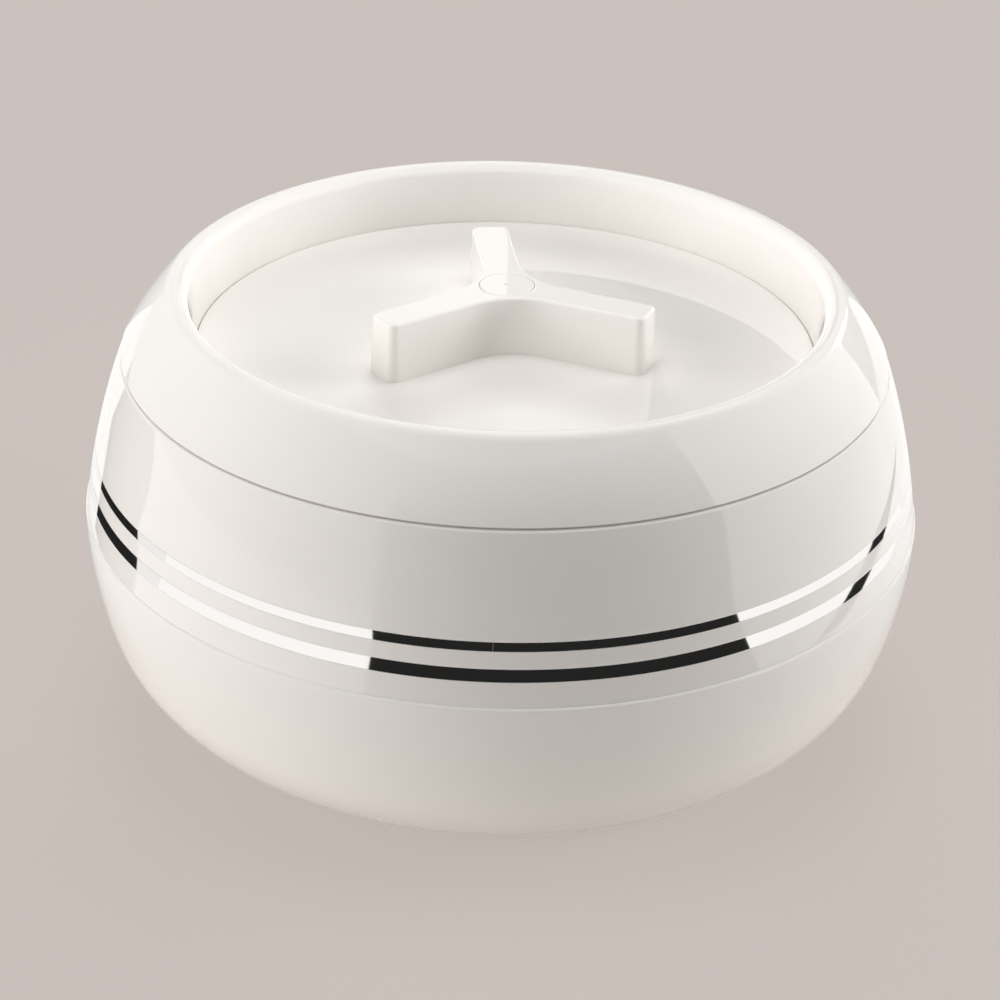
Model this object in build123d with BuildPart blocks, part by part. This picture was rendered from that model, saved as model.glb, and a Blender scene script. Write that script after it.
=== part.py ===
"""Insulated chapati casserole: a two-shell body round a steel bowl, and a lid that twists and lifts off.

Sizes are in millimetres. +Z is up, the origin is the centre of the foot ring's resting plane, and the
front faces -Y. Round pieces are revolved from a section drawn in the plane XZ, where the first
coordinate is the radius and the second is the height.
"""

import os
from math import asin, atan2, cos, degrees, hypot, radians, sin, sqrt, tan

from build123d import *

# ------------------------------------------------------------------ driving dimensions

# Clearances
fit_gap = 0.15  # between pieces that are pushed together
foam_gap = 0.2  # between the insulation and what holds it
moving_gap = 0.4  # between the lid's moving pieces and the body
rest_gap = 0.3  # under the seal when the lid is down
seam_gap = 0.5  # visible joint between the body and the lid

# Outer shells
body_radius = 125.0  # at the waist line, where the two shells meet
waist_height = 64.0
shoulder_height = 46.4  # from the waist line up to the seam
shoulder_inset = 12.4  # how much narrower the seam is than the waist
shoulder_arc_radius = 207.0
base_corner_radius = 38.7
shell_wall = 2.4
waist_lip = 0.6  # ledge of the lower shell outside the shoulder
waist_lip_fillet = 0.5
lap_depth = 6.0  # tongue of the shoulder inside the lower shell
lap_wall = 1.6
lap_root = 3.0
mouth_edge_fillet = 1.2
rim_land = 2.2  # width of the shoulder's top edge

# Mirror bands, measured up from the waist line
lower_band_rise = 7.2
lower_band_height = 3.7
upper_band_rise = 15.6
upper_band_height = 2.6
band_thickness = 0.4
band_proud = 0.05
band_joint_gap = 0.4  # butt joint of the strip
upper_band_joint_angle = -90.5  # at the front
lower_band_joint_angle = 90.0  # at the back

# Base cover with the foot ring
foot_height = 2.0
foot_margin = 2.6  # from the foot ring out to the start of the shell's corner
foot_ring_width = 5.0
foot_seat_width = 2.8  # width of the foot ring under the shell
cover_wall = 2.4
cover_spigot_height = 3.0
cover_spigot_wall = 2.0
base_hole_radius = 10.0
plug_flange_width = 3.0
plug_flange_height = 1.2

# Steel bowl
sheet = 0.6
base_insulation = 11.0
bowl_corner_radius = 24.0
rim_drop = 5.2  # from the shoulder's top edge down to the bowl's rim
rim_bend_radius = 1.0
lip_drop = 3.6

# Rim collar, with the well that the lid's skirt turns in
collar_recess = 0.2
collar_flange_height = 1.8
collar_ledge_width = 1.8
collar_wall = 2.2
collar_floor = 2.0
collar_inner_wall = 2.0
bowl_seat_gap = 0.5
lip_seat_gap = 0.4
well_depth = 5.6  # below the bowl's rim
tab_height = 2.2
tab_span = 20.0
stop_span = 2.0

# Lid lock
lock_count = 3
first_lug_angle = 30.0
lug_reach = 1.8
lug_height = 2.0
lug_span = 16.0
lock_turn = 22.0  # clockwise from above, from free to locked
stop_clearance = 0.5  # degrees between lug and stop when locked

# Lid liner
skirt_wall = 2.0
skirt_clearance = 1.1  # between the skirt and the bowl's lip
skirt_floor_gap = 0.8
liner_wall = 2.0
plug_clearance = 1.0  # between the liner's plug and the bowl
plug_depth = 6.7  # below the bowl's rim
plug_corner_radius = 2.5
liner_hole_radius = 8.0
bead_reach = 0.8  # beads that keep the seal in its groove
bead_height = 0.8

# Seal
seal_lip_height = 1.2
seal_head_height = 1.0

# Crown and panel
crown_height = 19.5  # from the seam up to the crest
crown_wall = 2.4
crest_radius = 4.0
flank_radius = 100.0
recess_draft = 5.5  # degrees from vertical
crown_liner_gap = 0.55
rebate_wall = 1.2
panel_rise = 0.8  # panel's top above the crown's foot
panel_thickness = 2.2
panel_ledge_width = 4.0
panel_ledge_height = 1.8
panel_edge_fillet = 0.3
boss_radius = 6.0
boss_depth = 6.5

# Knob
arm_count = 3
first_arm_angle = -22.4
arm_length = 44.6  # at the top
arm_width = 11.0  # at the top
arm_blend_radius = 22.0
arm_tip_radius = 1.8
knob_height = 17.6
knob_draft = 2.5
knob_edge_fillet = 0.9
knob_wall = 2.2
post_radius = 9.0
post_floor = 7.0
key_start = 20.0
key_length = 14.0
key_height = 3.0

# Knob's screw, washer and cap
cap_radius = 8.0
cap_thickness = 1.5
cap_stem_radius = 4.5
cap_stem_length = 2.0
gate_mark_radius = 0.9
gate_mark_depth = 0.2
screw_radius = 2.0
screw_head_radius = 3.6
screw_head_height = 2.6
screw_tail_gap = 1.0
slot_width = 0.9
slot_length = 4.4
slot_depth = 1.3
thread_gap = 0.05
washer_radius = 4.5
washer_thickness = 0.8
pocket_gap = 0.3

# ------------------------------------------------------------------ derived heights

mouth_height = waist_height + shoulder_height
shell_floor = foot_height + shell_wall
bowl_floor = shell_floor + base_insulation
rim_top = mouth_height - rim_drop
collar_top = mouth_height - collar_recess
ledge_height = collar_top - collar_flange_height
well_floor = rim_top - well_depth
collar_bottom = well_floor - collar_floor
crown_foot = mouth_height + seam_gap
crown_top = crown_foot + crown_height
panel_top = crown_foot + panel_rise
panel_bottom = panel_top - panel_thickness
boss_bottom = panel_bottom - boss_depth
knob_top = panel_top + knob_height
skirt_bottom = well_floor + skirt_floor_gap
lug_top = skirt_bottom + lug_height
tab_bottom = lug_top + moving_gap
seal_bottom = rim_top + rest_gap
seal_head_bottom = seal_bottom + seal_lip_height
seal_top = seal_head_bottom + seal_head_height
groove_roof = seal_top + rest_gap
bead_top = seal_head_bottom - rest_gap
bead_bottom = bead_top - bead_height
liner_bottom = rim_top - plug_depth
liner_floor = liner_bottom + liner_wall
flange_top = crown_foot + liner_wall
spigot_top = foot_height + cover_spigot_height
screw_seat = panel_top + post_floor
cap_seat = knob_top - cap_thickness

# ------------------------------------------------------------------ derived radii, from the seam inwards

mouth_radius = body_radius - shoulder_inset
shoulder_foot_radius = body_radius - waist_lip
collar_seat_radius = mouth_radius - rim_land
collar_outer = collar_seat_radius - collar_ledge_width
well_outer = collar_outer - collar_wall
lug_tip = well_outer - moving_gap
skirt_outer = lug_tip - lug_reach
tab_tip = skirt_outer + moving_gap
skirt_inner = skirt_outer - skirt_wall
lip_outer = skirt_inner - skirt_clearance
lip_inner = lip_outer - sheet
collar_inner_face = lip_inner - lip_seat_gap
collar_bore = collar_inner_face - collar_inner_wall
bowl_outer = collar_bore - bowl_seat_gap
bowl_inner = bowl_outer - sheet
plug_outer = bowl_inner - plug_clearance
plug_inner = plug_outer - liner_wall
crown_hidden_radius = plug_inner - crown_liner_gap
recess_radius = crown_hidden_radius - crown_wall
panel_radius = recess_radius - fit_gap
seal_outer = skirt_inner - moving_gap
seal_inner = plug_outer + moving_gap

# Lower shell: the side is an arc about the axis at the waist, and runs into the corner's arc.
corner_drop = waist_height - base_corner_radius - foot_height
side_sweep = degrees(asin(corner_drop / (body_radius - base_corner_radius)))
shell_flat_radius = (body_radius - base_corner_radius) * cos(radians(side_sweep))
corner_height = foot_height + base_corner_radius
foot_outer = shell_flat_radius - foot_margin
foot_inner = foot_outer - foot_ring_width
cover_seat_radius = foot_outer - foot_seat_width
shell_opening_radius = cover_seat_radius + fit_gap
lap_radius = sqrt((body_radius - shell_wall) ** 2 - lap_depth**2) - 2 * fit_gap
lap_inner = lap_radius - lap_wall


def side_point(radius_offset):
    """Where the lower shell's side arc meets its corner arc, moved inwards by radius_offset."""
    radius = body_radius - radius_offset
    return (radius * cos(radians(side_sweep)), waist_height - radius * sin(radians(side_sweep)))


def side_radius(radius_offset, height):
    """Radius of the lower shell's side arc at a height, moved inwards by radius_offset."""
    return sqrt((body_radius - radius_offset) ** 2 - (waist_height - height) ** 2)


# Shoulder: one arc from the waist line to the seam.
chord_r = mouth_radius - shoulder_foot_radius
chord_z = mouth_height - waist_height
chord = hypot(chord_r, chord_z)
shoulder_sagitta_leg = sqrt(shoulder_arc_radius**2 - (chord / 2) ** 2)
shoulder_centre = (
    (mouth_radius + shoulder_foot_radius) / 2 - shoulder_sagitta_leg * chord_z / chord,
    (mouth_height + waist_height) / 2 + shoulder_sagitta_leg * chord_r / chord,
)


def shoulder_point(radius_offset, height):
    """Point of the shoulder's section at a height, moved inwards by radius_offset."""
    radius = shoulder_arc_radius - radius_offset
    return (shoulder_centre[0] + sqrt(radius**2 - (height - shoulder_centre[1]) ** 2), height)


# Crown: a flank arc from the seam, a small crest arc, and the recess's drafted wall.
draft = radians(recess_draft)
crest_height = crown_top - crest_radius
wall_rise = crest_height + crest_radius * sin(draft) - panel_top
crest_centre = (recess_radius + wall_rise * tan(draft) + crest_radius * cos(draft), crest_height)
crown_start = (mouth_radius, crown_foot)


def flank_centre():
    """Centre of the arc that starts at the seam and runs into the crest's arc."""
    run = crest_centre[0] - crown_start[0]
    rise = crest_centre[1] - crown_start[1]
    reach = hypot(run, rise)
    along = (flank_radius**2 - (flank_radius - crest_radius) ** 2 + reach**2) / (2 * reach)
    across = sqrt(flank_radius**2 - along**2)
    return (
        crown_start[0] + (along * run - across * rise) / reach,
        crown_start[1] + (along * rise + across * run) / reach,
    )


crown_centre = flank_centre()
flank_direction = atan2(crest_centre[1] - crown_centre[1], crest_centre[0] - crown_centre[0])


def flank_end(wall_offset):
    """Where the flank meets the crest, moved into the wall by wall_offset."""
    radius = flank_radius - wall_offset
    return (
        crown_centre[0] + radius * cos(flank_direction),
        crown_centre[1] + radius * sin(flank_direction),
    )


def crest_end(wall_offset):
    """Where the crest meets the recess's wall, moved into the wall by wall_offset."""
    radius = crest_radius - wall_offset
    return (crest_centre[0] - radius * cos(draft), crest_centre[1] + radius * sin(draft))


def flank_point(wall_offset, height):
    """Point of the crown's flank at a height, moved into the wall by wall_offset."""
    radius = flank_radius - wall_offset
    return (crown_centre[0] + sqrt(radius**2 - (height - crown_centre[1]) ** 2), height)


rebate_radius = flank_point(0, flange_top)[0] - rebate_wall
flange_outer = rebate_radius - fit_gap

arm_angles = [first_arm_angle + arm * 360 / arm_count for arm in range(arm_count)]
lug_angles = [first_lug_angle + lug * 360 / lock_count for lug in range(lock_count)]


# ------------------------------------------------------------------ drawing helpers


def section_plane(angle):
    """Upright half plane through the axis, turned by angle from +X."""
    turn = radians(angle)
    return Plane(origin=(0, 0, 0), x_dir=(cos(turn), sin(turn), 0), z_dir=(sin(turn), -cos(turn), 0))


def arc_about(centre, start, end):
    """Short arc about centre from start to end, in the line being built."""
    radius = hypot(start[0] - centre[0], start[1] - centre[1])
    middle_r = (start[0] + end[0]) / 2 - centre[0]
    middle_z = (start[1] + end[1]) / 2 - centre[1]
    scale = radius / hypot(middle_r, middle_z)
    middle = (centre[0] + middle_r * scale, centre[1] + middle_z * scale)
    return ThreePointArc(start, middle, end)


def corner_at(sketch, radius, height):
    """The sketch's vertex nearest to a radius and height."""
    return sketch.vertices().sort_by_distance((radius, height))[0]


def band_section(start_height, end_height, inner_offset, outer_offset):
    """Closed outline of a strip on the shoulder, in the line being built."""
    outer_start = shoulder_point(outer_offset, start_height)
    outer_end = shoulder_point(outer_offset, end_height)
    inner_end = shoulder_point(inner_offset, end_height)
    inner_start = shoulder_point(inner_offset, start_height)
    arc_about(shoulder_centre, outer_start, outer_end)
    Line(outer_end, inner_end)
    arc_about(shoulder_centre, inner_end, inner_start)
    Line(inner_start, outer_start)


def draw_arms(outline, length, width, blend_radius, tip_radius):
    """Straight arms with rounded ends and large blends between them, in the sketch called outline."""
    for arm_angle in arm_angles:
        Rectangle(length, width, rotation=arm_angle, align=(Align.MIN, Align.CENTER))
    corners = outline.vertices().sort_by_distance((0, 0))
    fillet(corners[arm_count:], tip_radius)
    corners = outline.vertices().sort_by_distance((0, 0))
    fillet(corners[:arm_count], blend_radius)


os.makedirs("parts", exist_ok=True)

# ------------------------------------------------------------------ body shells

with BuildPart() as lower_shell:
    with BuildSketch(Plane.XZ) as section:
        with BuildLine():
            corner_centre = (shell_flat_radius, corner_height)
            Line((shell_opening_radius, foot_height), (shell_flat_radius, foot_height))
            arc_about(corner_centre, (shell_flat_radius, foot_height), side_point(0))
            arc_about((0, waist_height), side_point(0), (body_radius, waist_height))
            Line((body_radius, waist_height), (body_radius - shell_wall, waist_height))
            arc_about((0, waist_height), (body_radius - shell_wall, waist_height), side_point(shell_wall))
            arc_about(corner_centre, side_point(shell_wall), (shell_flat_radius, shell_floor))
            Polyline(
                (shell_flat_radius, shell_floor),
                (shell_opening_radius, shell_floor),
                (shell_opening_radius, foot_height),
            )
        make_face()
        fillet(corner_at(section, body_radius, waist_height), waist_lip_fillet)
    revolve(axis=Axis.Z)
lower_shell.part.label = "lower_shell"
export_step(lower_shell.part, "parts/lower_shell.step")

band_groove_depth = band_thickness - band_proud + fit_gap
lower_band_start = waist_height + lower_band_rise
upper_band_start = waist_height + upper_band_rise
lower_band_end = lower_band_start + lower_band_height
upper_band_end = upper_band_start + upper_band_height

with BuildPart() as shoulder_shell:
    with BuildSketch(Plane.XZ) as section:
        with BuildLine():
            outer_start = shoulder_point(0, waist_height)
            outer_end = shoulder_point(0, mouth_height)
            inner_end = shoulder_point(shell_wall, ledge_height - shell_wall)
            inner_start = shoulder_point(shell_wall, waist_height + lap_root)
            neck_radius = collar_outer + fit_gap
            arc_about(shoulder_centre, outer_start, outer_end)
            Polyline(
                outer_end,
                (collar_seat_radius, mouth_height),
                (collar_seat_radius, ledge_height),
                (neck_radius, ledge_height),
                (neck_radius, ledge_height - shell_wall),
                inner_end,
            )
            arc_about(shoulder_centre, inner_end, inner_start)
            Polyline(
                inner_start,
                (lap_inner, waist_height + lap_root),
                (lap_inner, waist_height - lap_depth),
                (lap_radius, waist_height - lap_depth),
                (lap_radius, waist_height),
                outer_start,
            )
        make_face()
        fillet(corner_at(section, mouth_radius, mouth_height), mouth_edge_fillet)
        for start, end in ((lower_band_start, lower_band_end), (upper_band_start, upper_band_end)):
            with BuildLine(mode=Mode.PRIVATE) as groove:
                band_section(start - fit_gap, end + fit_gap, band_groove_depth, -waist_lip)
            make_face(groove.line, mode=Mode.SUBTRACT)
    revolve(axis=Axis.Z)
shoulder_shell.part.label = "shoulder_shell"
export_step(shoulder_shell.part, "parts/shoulder_shell.step")


def build_band(start_height, end_height, joint_angle):
    """A thin mirror strip round the shoulder, open at its butt joint."""
    joint = degrees(band_joint_gap / shoulder_point(0, start_height)[0])
    with BuildPart() as band:
        with BuildSketch(section_plane(joint_angle + joint / 2)):
            with BuildLine():
                band_section(start_height, end_height, band_thickness - band_proud, -band_proud)
            make_face()
        revolve(axis=Axis.Z, revolution_arc=360 - joint)
    return band


lower_band = build_band(lower_band_start, lower_band_end, lower_band_joint_angle)
lower_band.part.label = "lower_band"
export_step(lower_band.part, "parts/lower_band.step")

upper_band = build_band(upper_band_start, upper_band_end, upper_band_joint_angle)
upper_band.part.label = "upper_band"
export_step(upper_band.part, "parts/upper_band.step")

# ------------------------------------------------------------------ base

with BuildPart() as base_cover:
    with BuildSketch(Plane.XZ):
        with BuildLine():
            Polyline(
                (base_hole_radius, foot_height),
                (foot_inner, foot_height),
                (foot_inner, 0),
                (foot_outer, 0),
                (foot_outer, foot_height),
                (cover_seat_radius, foot_height),
                (cover_seat_radius, spigot_top),
                (cover_seat_radius - cover_spigot_wall, spigot_top),
                (cover_seat_radius - cover_spigot_wall, foot_height + cover_wall),
                (base_hole_radius, foot_height + cover_wall),
                close=True,
            )
        make_face()
    revolve(axis=Axis.Z)
base_cover.part.label = "base_cover"
export_step(base_cover.part, "parts/base_cover.step")


def build_plug(hole_radius, seat_height, stem_height):
    """A flanged plug that closes a foam filling hole from below."""
    with BuildPart() as plug:
        with BuildSketch(Plane.XY.offset(seat_height - plug_flange_height)):
            Circle(hole_radius + plug_flange_width)
        extrude(amount=plug_flange_height)
        with BuildSketch(Plane.XY.offset(seat_height)):
            Circle(hole_radius - fit_gap)
        extrude(amount=stem_height)
    return plug


base_foam_plug = build_plug(base_hole_radius, foot_height, cover_spigot_height)
base_foam_plug.part.label = "base_foam_plug"
export_step(base_foam_plug.part, "parts/base_foam_plug.step")

# ------------------------------------------------------------------ steel bowl and rim collar

with BuildPart() as steel_bowl:
    with BuildSketch(Plane.XZ) as section:
        with BuildLine():
            Polyline(
                (0, bowl_floor),
                (bowl_outer, bowl_floor),
                (bowl_outer, rim_top - sheet),
                (lip_inner, rim_top - sheet),
                (lip_inner, rim_top - lip_drop),
                (lip_outer, rim_top - lip_drop),
                (lip_outer, rim_top),
                (bowl_inner, rim_top),
                (bowl_inner, bowl_floor + sheet),
                (0, bowl_floor + sheet),
                close=True,
            )
        make_face()
        fillet(corner_at(section, bowl_outer, bowl_floor), bowl_corner_radius)
        fillet(corner_at(section, bowl_inner, bowl_floor + sheet), bowl_corner_radius - sheet)
        fillet(corner_at(section, bowl_inner, rim_top), rim_bend_radius)
        fillet(corner_at(section, bowl_outer, rim_top - sheet), rim_bend_radius - sheet)
        fillet(corner_at(section, lip_outer, rim_top), rim_bend_radius)
    revolve(axis=Axis.Z)
steel_bowl.part.label = "steel_bowl"
export_step(steel_bowl.part, "parts/steel_bowl.step")


def ring_sector(inner_radius, outer_radius, bottom, top, start_angle, span):
    """A block that follows the circle, added to the part being built."""
    with BuildSketch(section_plane(start_angle)) as section:
        with BuildLine():
            Polyline(
                (inner_radius, bottom),
                (outer_radius, bottom),
                (outer_radius, top),
                (inner_radius, top),
                close=True,
            )
        make_face()
    revolve(section.sketch, axis=Axis.Z, revolution_arc=span)


tab_top = tab_bottom + tab_height

with BuildPart() as rim_collar:
    with BuildSketch(Plane.XZ):
        with BuildLine():
            Polyline(
                (collar_bore, collar_bottom),
                (collar_outer, collar_bottom),
                (collar_outer, ledge_height),
                (collar_seat_radius - fit_gap, ledge_height),
                (collar_seat_radius - fit_gap, collar_top),
                (well_outer, collar_top),
                (well_outer, well_floor),
                (collar_inner_face, well_floor),
                (collar_inner_face, rim_top - sheet),
                (collar_bore, rim_top - sheet),
                close=True,
            )
        make_face()
    revolve(axis=Axis.Z)
    wall_middle = (well_outer + collar_outer) / 2
    for lug_angle in lug_angles:
        tab_start = lug_angle - lock_turn - tab_span / 2
        ring_sector(tab_tip, wall_middle, tab_bottom, tab_top, tab_start, tab_span)
        stop_start = lug_angle - lock_turn - lug_span / 2 - stop_clearance - stop_span
        ring_sector(tab_tip, wall_middle, well_floor, tab_bottom, stop_start, stop_span)
rim_collar.part.label = "rim_collar"
export_step(rim_collar.part, "parts/rim_collar.step")

# ------------------------------------------------------------------ body insulation

foam_shell_offset = shell_wall + foam_gap
foam_lap_inner = lap_inner - foam_gap
foam_lap_bottom = waist_height - lap_depth - foam_gap
foam_lap_top = waist_height + lap_root + foam_gap
foam_bottom = spigot_top + foam_gap
foam_neck_height = ledge_height - shell_wall - foam_gap

with BuildPart() as body_foam:
    with BuildSketch(Plane.XZ) as section:
        with BuildLine():
            corner_reach = base_corner_radius - foam_shell_offset
            corner_start_r = shell_flat_radius + sqrt(corner_reach**2 - (corner_height - foam_bottom) ** 2)
            side_end = (side_radius(foam_shell_offset, foam_lap_bottom), foam_lap_bottom)
            neck_start = shoulder_point(foam_shell_offset, foam_lap_top)
            neck_end = shoulder_point(foam_shell_offset, foam_neck_height)
            Line((0, foam_bottom), (corner_start_r, foam_bottom))
            arc_about(corner_centre, (corner_start_r, foam_bottom), side_point(foam_shell_offset))
            arc_about((0, waist_height), side_point(foam_shell_offset), side_end)
            Polyline(
                side_end,
                (foam_lap_inner, foam_lap_bottom),
                (foam_lap_inner, foam_lap_top),
                neck_start,
            )
            arc_about(shoulder_centre, neck_start, neck_end)
            Polyline(
                neck_end,
                (collar_outer + foam_gap, foam_neck_height),
                (collar_outer + foam_gap, collar_bottom - foam_gap),
                (bowl_outer + foam_gap, collar_bottom - foam_gap),
                (bowl_outer + foam_gap, bowl_floor - foam_gap),
                (0, bowl_floor - foam_gap),
                (0, foam_bottom),
            )
        make_face()
        fillet(corner_at(section, bowl_outer + foam_gap, bowl_floor - foam_gap), bowl_corner_radius + foam_gap)
    revolve(axis=Axis.Z)
body_foam.part.label = "body_foam"
export_step(body_foam.part, "parts/body_foam.step")

# ------------------------------------------------------------------ lid shells

with BuildPart() as lid_crown:
    with BuildSketch(Plane.XZ):
        with BuildLine():
            ledge_inner = recess_radius - panel_ledge_width
            ledge_bottom = panel_bottom - panel_ledge_height
            inner_foot = flank_point(crown_wall, flange_top)
            arc_about(crown_centre, crown_start, flank_end(0))
            arc_about(crest_centre, flank_end(0), crest_end(0))
            Polyline(
                crest_end(0),
                (recess_radius, panel_top),
                (recess_radius, panel_bottom),
                (ledge_inner, panel_bottom),
                (ledge_inner, ledge_bottom),
                (crown_hidden_radius, ledge_bottom),
                (crown_hidden_radius, panel_top),
                crest_end(crown_wall),
            )
            arc_about(crest_centre, crest_end(crown_wall), flank_end(crown_wall))
            arc_about(crown_centre, flank_end(crown_wall), inner_foot)
            Polyline(
                inner_foot,
                (rebate_radius, flange_top),
                (rebate_radius, crown_foot),
                crown_start,
            )
        make_face()
    revolve(axis=Axis.Z)
lid_crown.part.label = "lid_crown"
export_step(lid_crown.part, "parts/lid_crown.step")

knob_spread = knob_height * tan(radians(knob_draft))
foot_arm_length = arm_length + knob_spread
foot_arm_width = arm_width + 2 * knob_spread
key_width = arm_width - 2 * knob_wall - 2 * pocket_gap

with BuildPart() as lid_panel:
    with BuildSketch(Plane.XZ) as section:
        with BuildLine():
            Polyline(
                (screw_radius + thread_gap, boss_bottom),
                (boss_radius, boss_bottom),
                (boss_radius, panel_bottom),
                (panel_radius, panel_bottom),
                (panel_radius, panel_top),
                (screw_radius + thread_gap, panel_top),
                close=True,
            )
        make_face()
        fillet(corner_at(section, panel_radius, panel_top), panel_edge_fillet)
    revolve(axis=Axis.Z)
    with BuildSketch(Plane.XY.offset(panel_top)):
        for arm_angle in arm_angles:
            with PolarLocations(key_start, 1, start_angle=arm_angle):
                Rectangle(key_length, key_width, align=(Align.MIN, Align.CENTER))
    extrude(amount=key_height)
lid_panel.part.label = "lid_panel"
export_step(lid_panel.part, "parts/lid_panel.step")

with BuildPart() as lid_liner:
    with BuildSketch(Plane.XZ) as section:
        with BuildLine():
            Polyline(
                (liner_hole_radius, liner_bottom),
                (plug_outer, liner_bottom),
                (plug_outer, bead_bottom),
                (plug_outer + bead_reach, bead_bottom),
                (plug_outer + bead_reach, bead_top),
                (plug_outer, bead_top),
                (plug_outer, groove_roof),
                (skirt_inner, groove_roof),
                (skirt_inner, bead_top),
                (skirt_inner - bead_reach, bead_top),
                (skirt_inner - bead_reach, bead_bottom),
                (skirt_inner, bead_bottom),
                (skirt_inner, skirt_bottom),
                (skirt_outer, skirt_bottom),
                (skirt_outer, crown_foot),
                (flange_outer, crown_foot),
                (flange_outer, flange_top),
                (skirt_inner, flange_top),
                (skirt_inner, groove_roof + liner_wall),
                (plug_inner, groove_roof + liner_wall),
                (plug_inner, liner_floor),
                (liner_hole_radius, liner_floor),
                close=True,
            )
        make_face()
        fillet(corner_at(section, plug_outer, liner_bottom), plug_corner_radius)
    revolve(axis=Axis.Z)
    skirt_middle = (skirt_inner + skirt_outer) / 2
    for lug_angle in lug_angles:
        ring_sector(skirt_middle, lug_tip, skirt_bottom, lug_top, lug_angle - lug_span / 2, lug_span)
lid_liner.part.label = "lid_liner"
export_step(lid_liner.part, "parts/lid_liner.step")

lid_foam_plug = build_plug(liner_hole_radius, liner_bottom, liner_wall)
lid_foam_plug.part.label = "lid_foam_plug"
export_step(lid_foam_plug.part, "parts/lid_foam_plug.step")

# ------------------------------------------------------------------ lid seal

with BuildPart() as lid_seal:
    with BuildSketch(Plane.XZ):
        with BuildLine():
            lip_start = seal_inner + bead_reach
            lip_end = seal_outer - bead_reach
            Polyline(
                (lip_start, seal_bottom),
                (lip_end, seal_bottom),
                (lip_end, seal_head_bottom),
                (seal_outer, seal_head_bottom),
                (seal_outer, seal_top),
                (seal_inner, seal_top),
                (seal_inner, seal_head_bottom),
                (lip_start, seal_head_bottom),
                close=True,
            )
        make_face()
    revolve(axis=Axis.Z)
lid_seal.part.label = "lid_seal"
export_step(lid_seal.part, "parts/lid_seal.step")

# ------------------------------------------------------------------ lid insulation

with BuildPart() as lid_foam_disc:
    with BuildSketch(Plane.XZ):
        with BuildLine():
            Polyline(
                (0, liner_floor + foam_gap),
                (plug_inner - foam_gap, liner_floor + foam_gap),
                (plug_inner - foam_gap, ledge_bottom - foam_gap),
                (ledge_inner - foam_gap, ledge_bottom - foam_gap),
                (ledge_inner - foam_gap, panel_bottom - foam_gap),
                (boss_radius + foam_gap, panel_bottom - foam_gap),
                (boss_radius + foam_gap, boss_bottom - foam_gap),
                (0, boss_bottom - foam_gap),
                close=True,
            )
        make_face()
    revolve(axis=Axis.Z)
lid_foam_disc.part.label = "lid_foam_disc"
export_step(lid_foam_disc.part, "parts/lid_foam_disc.step")

with BuildPart() as crown_foam_ring:
    with BuildSketch(Plane.XZ):
        with BuildLine():
            ring_offset = crown_wall + foam_gap
            ring_bottom = flange_top + foam_gap
            ring_foot = flank_point(ring_offset, ring_bottom)
            arc_about(crown_centre, ring_foot, flank_end(ring_offset))
            arc_about(crest_centre, flank_end(ring_offset), crest_end(ring_offset))
            Polyline(
                crest_end(ring_offset),
                (crown_hidden_radius + foam_gap, panel_top),
                (crown_hidden_radius + foam_gap, groove_roof + liner_wall + foam_gap),
                (skirt_inner - foam_gap, groove_roof + liner_wall + foam_gap),
                (skirt_inner - foam_gap, ring_bottom),
                ring_foot,
            )
        make_face()
    revolve(axis=Axis.Z)
crown_foam_ring.part.label = "crown_foam_ring"
export_step(crown_foam_ring.part, "parts/crown_foam_ring.step")

# ------------------------------------------------------------------ knob

with BuildPart() as knob:
    with BuildSketch(Plane.XY.offset(panel_top)) as outline:
        draw_arms(outline, foot_arm_length, foot_arm_width, arm_blend_radius, arm_tip_radius)
    extrude(amount=knob_height, taper=knob_draft)
    fillet(knob.edges().group_by(Axis.Z)[-1], knob_edge_fillet)
    with BuildSketch(Plane.XY.offset(panel_top)) as outline:
        draw_arms(
            outline,
            foot_arm_length - knob_wall,
            foot_arm_width - 2 * knob_wall,
            arm_blend_radius + knob_wall,
            arm_tip_radius / 2,
        )
        Circle(post_radius, mode=Mode.SUBTRACT)
    extrude(amount=knob_height - knob_wall, taper=knob_draft, mode=Mode.SUBTRACT)
    with BuildSketch(Plane.XY.offset(cap_seat)):
        Circle(cap_radius + fit_gap)
    extrude(amount=cap_thickness, mode=Mode.SUBTRACT)
    with BuildSketch(Plane.XY.offset(screw_seat)):
        Circle(washer_radius + pocket_gap)
    extrude(amount=cap_seat - screw_seat, mode=Mode.SUBTRACT)
    with BuildSketch(Plane.XY.offset(panel_top)):
        Circle(screw_radius + pocket_gap)
    extrude(amount=post_floor, mode=Mode.SUBTRACT)
knob.part.label = "knob"
export_step(knob.part, "parts/knob.step")

with BuildPart() as knob_cap:
    with BuildSketch(Plane.XY.offset(cap_seat)):
        Circle(cap_radius)
    extrude(amount=cap_thickness)
    with BuildSketch(Plane.XY.offset(cap_seat - cap_stem_length)):
        Circle(cap_stem_radius)
    extrude(amount=cap_stem_length)
    with BuildSketch(Plane.XY.offset(knob_top - gate_mark_depth)):
        Circle(gate_mark_radius)
    extrude(amount=gate_mark_depth, mode=Mode.SUBTRACT)
knob_cap.part.label = "knob_cap"
export_step(knob_cap.part, "parts/knob_cap.step")

washer_top = screw_seat + washer_thickness
screw_top = washer_top + screw_head_height

with BuildPart() as knob_washer:
    with BuildSketch(Plane.XY.offset(screw_seat)):
        Circle(washer_radius)
        Circle(screw_radius + thread_gap, mode=Mode.SUBTRACT)
    extrude(amount=washer_thickness)
knob_washer.part.label = "knob_washer"
export_step(knob_washer.part, "parts/knob_washer.step")

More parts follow.
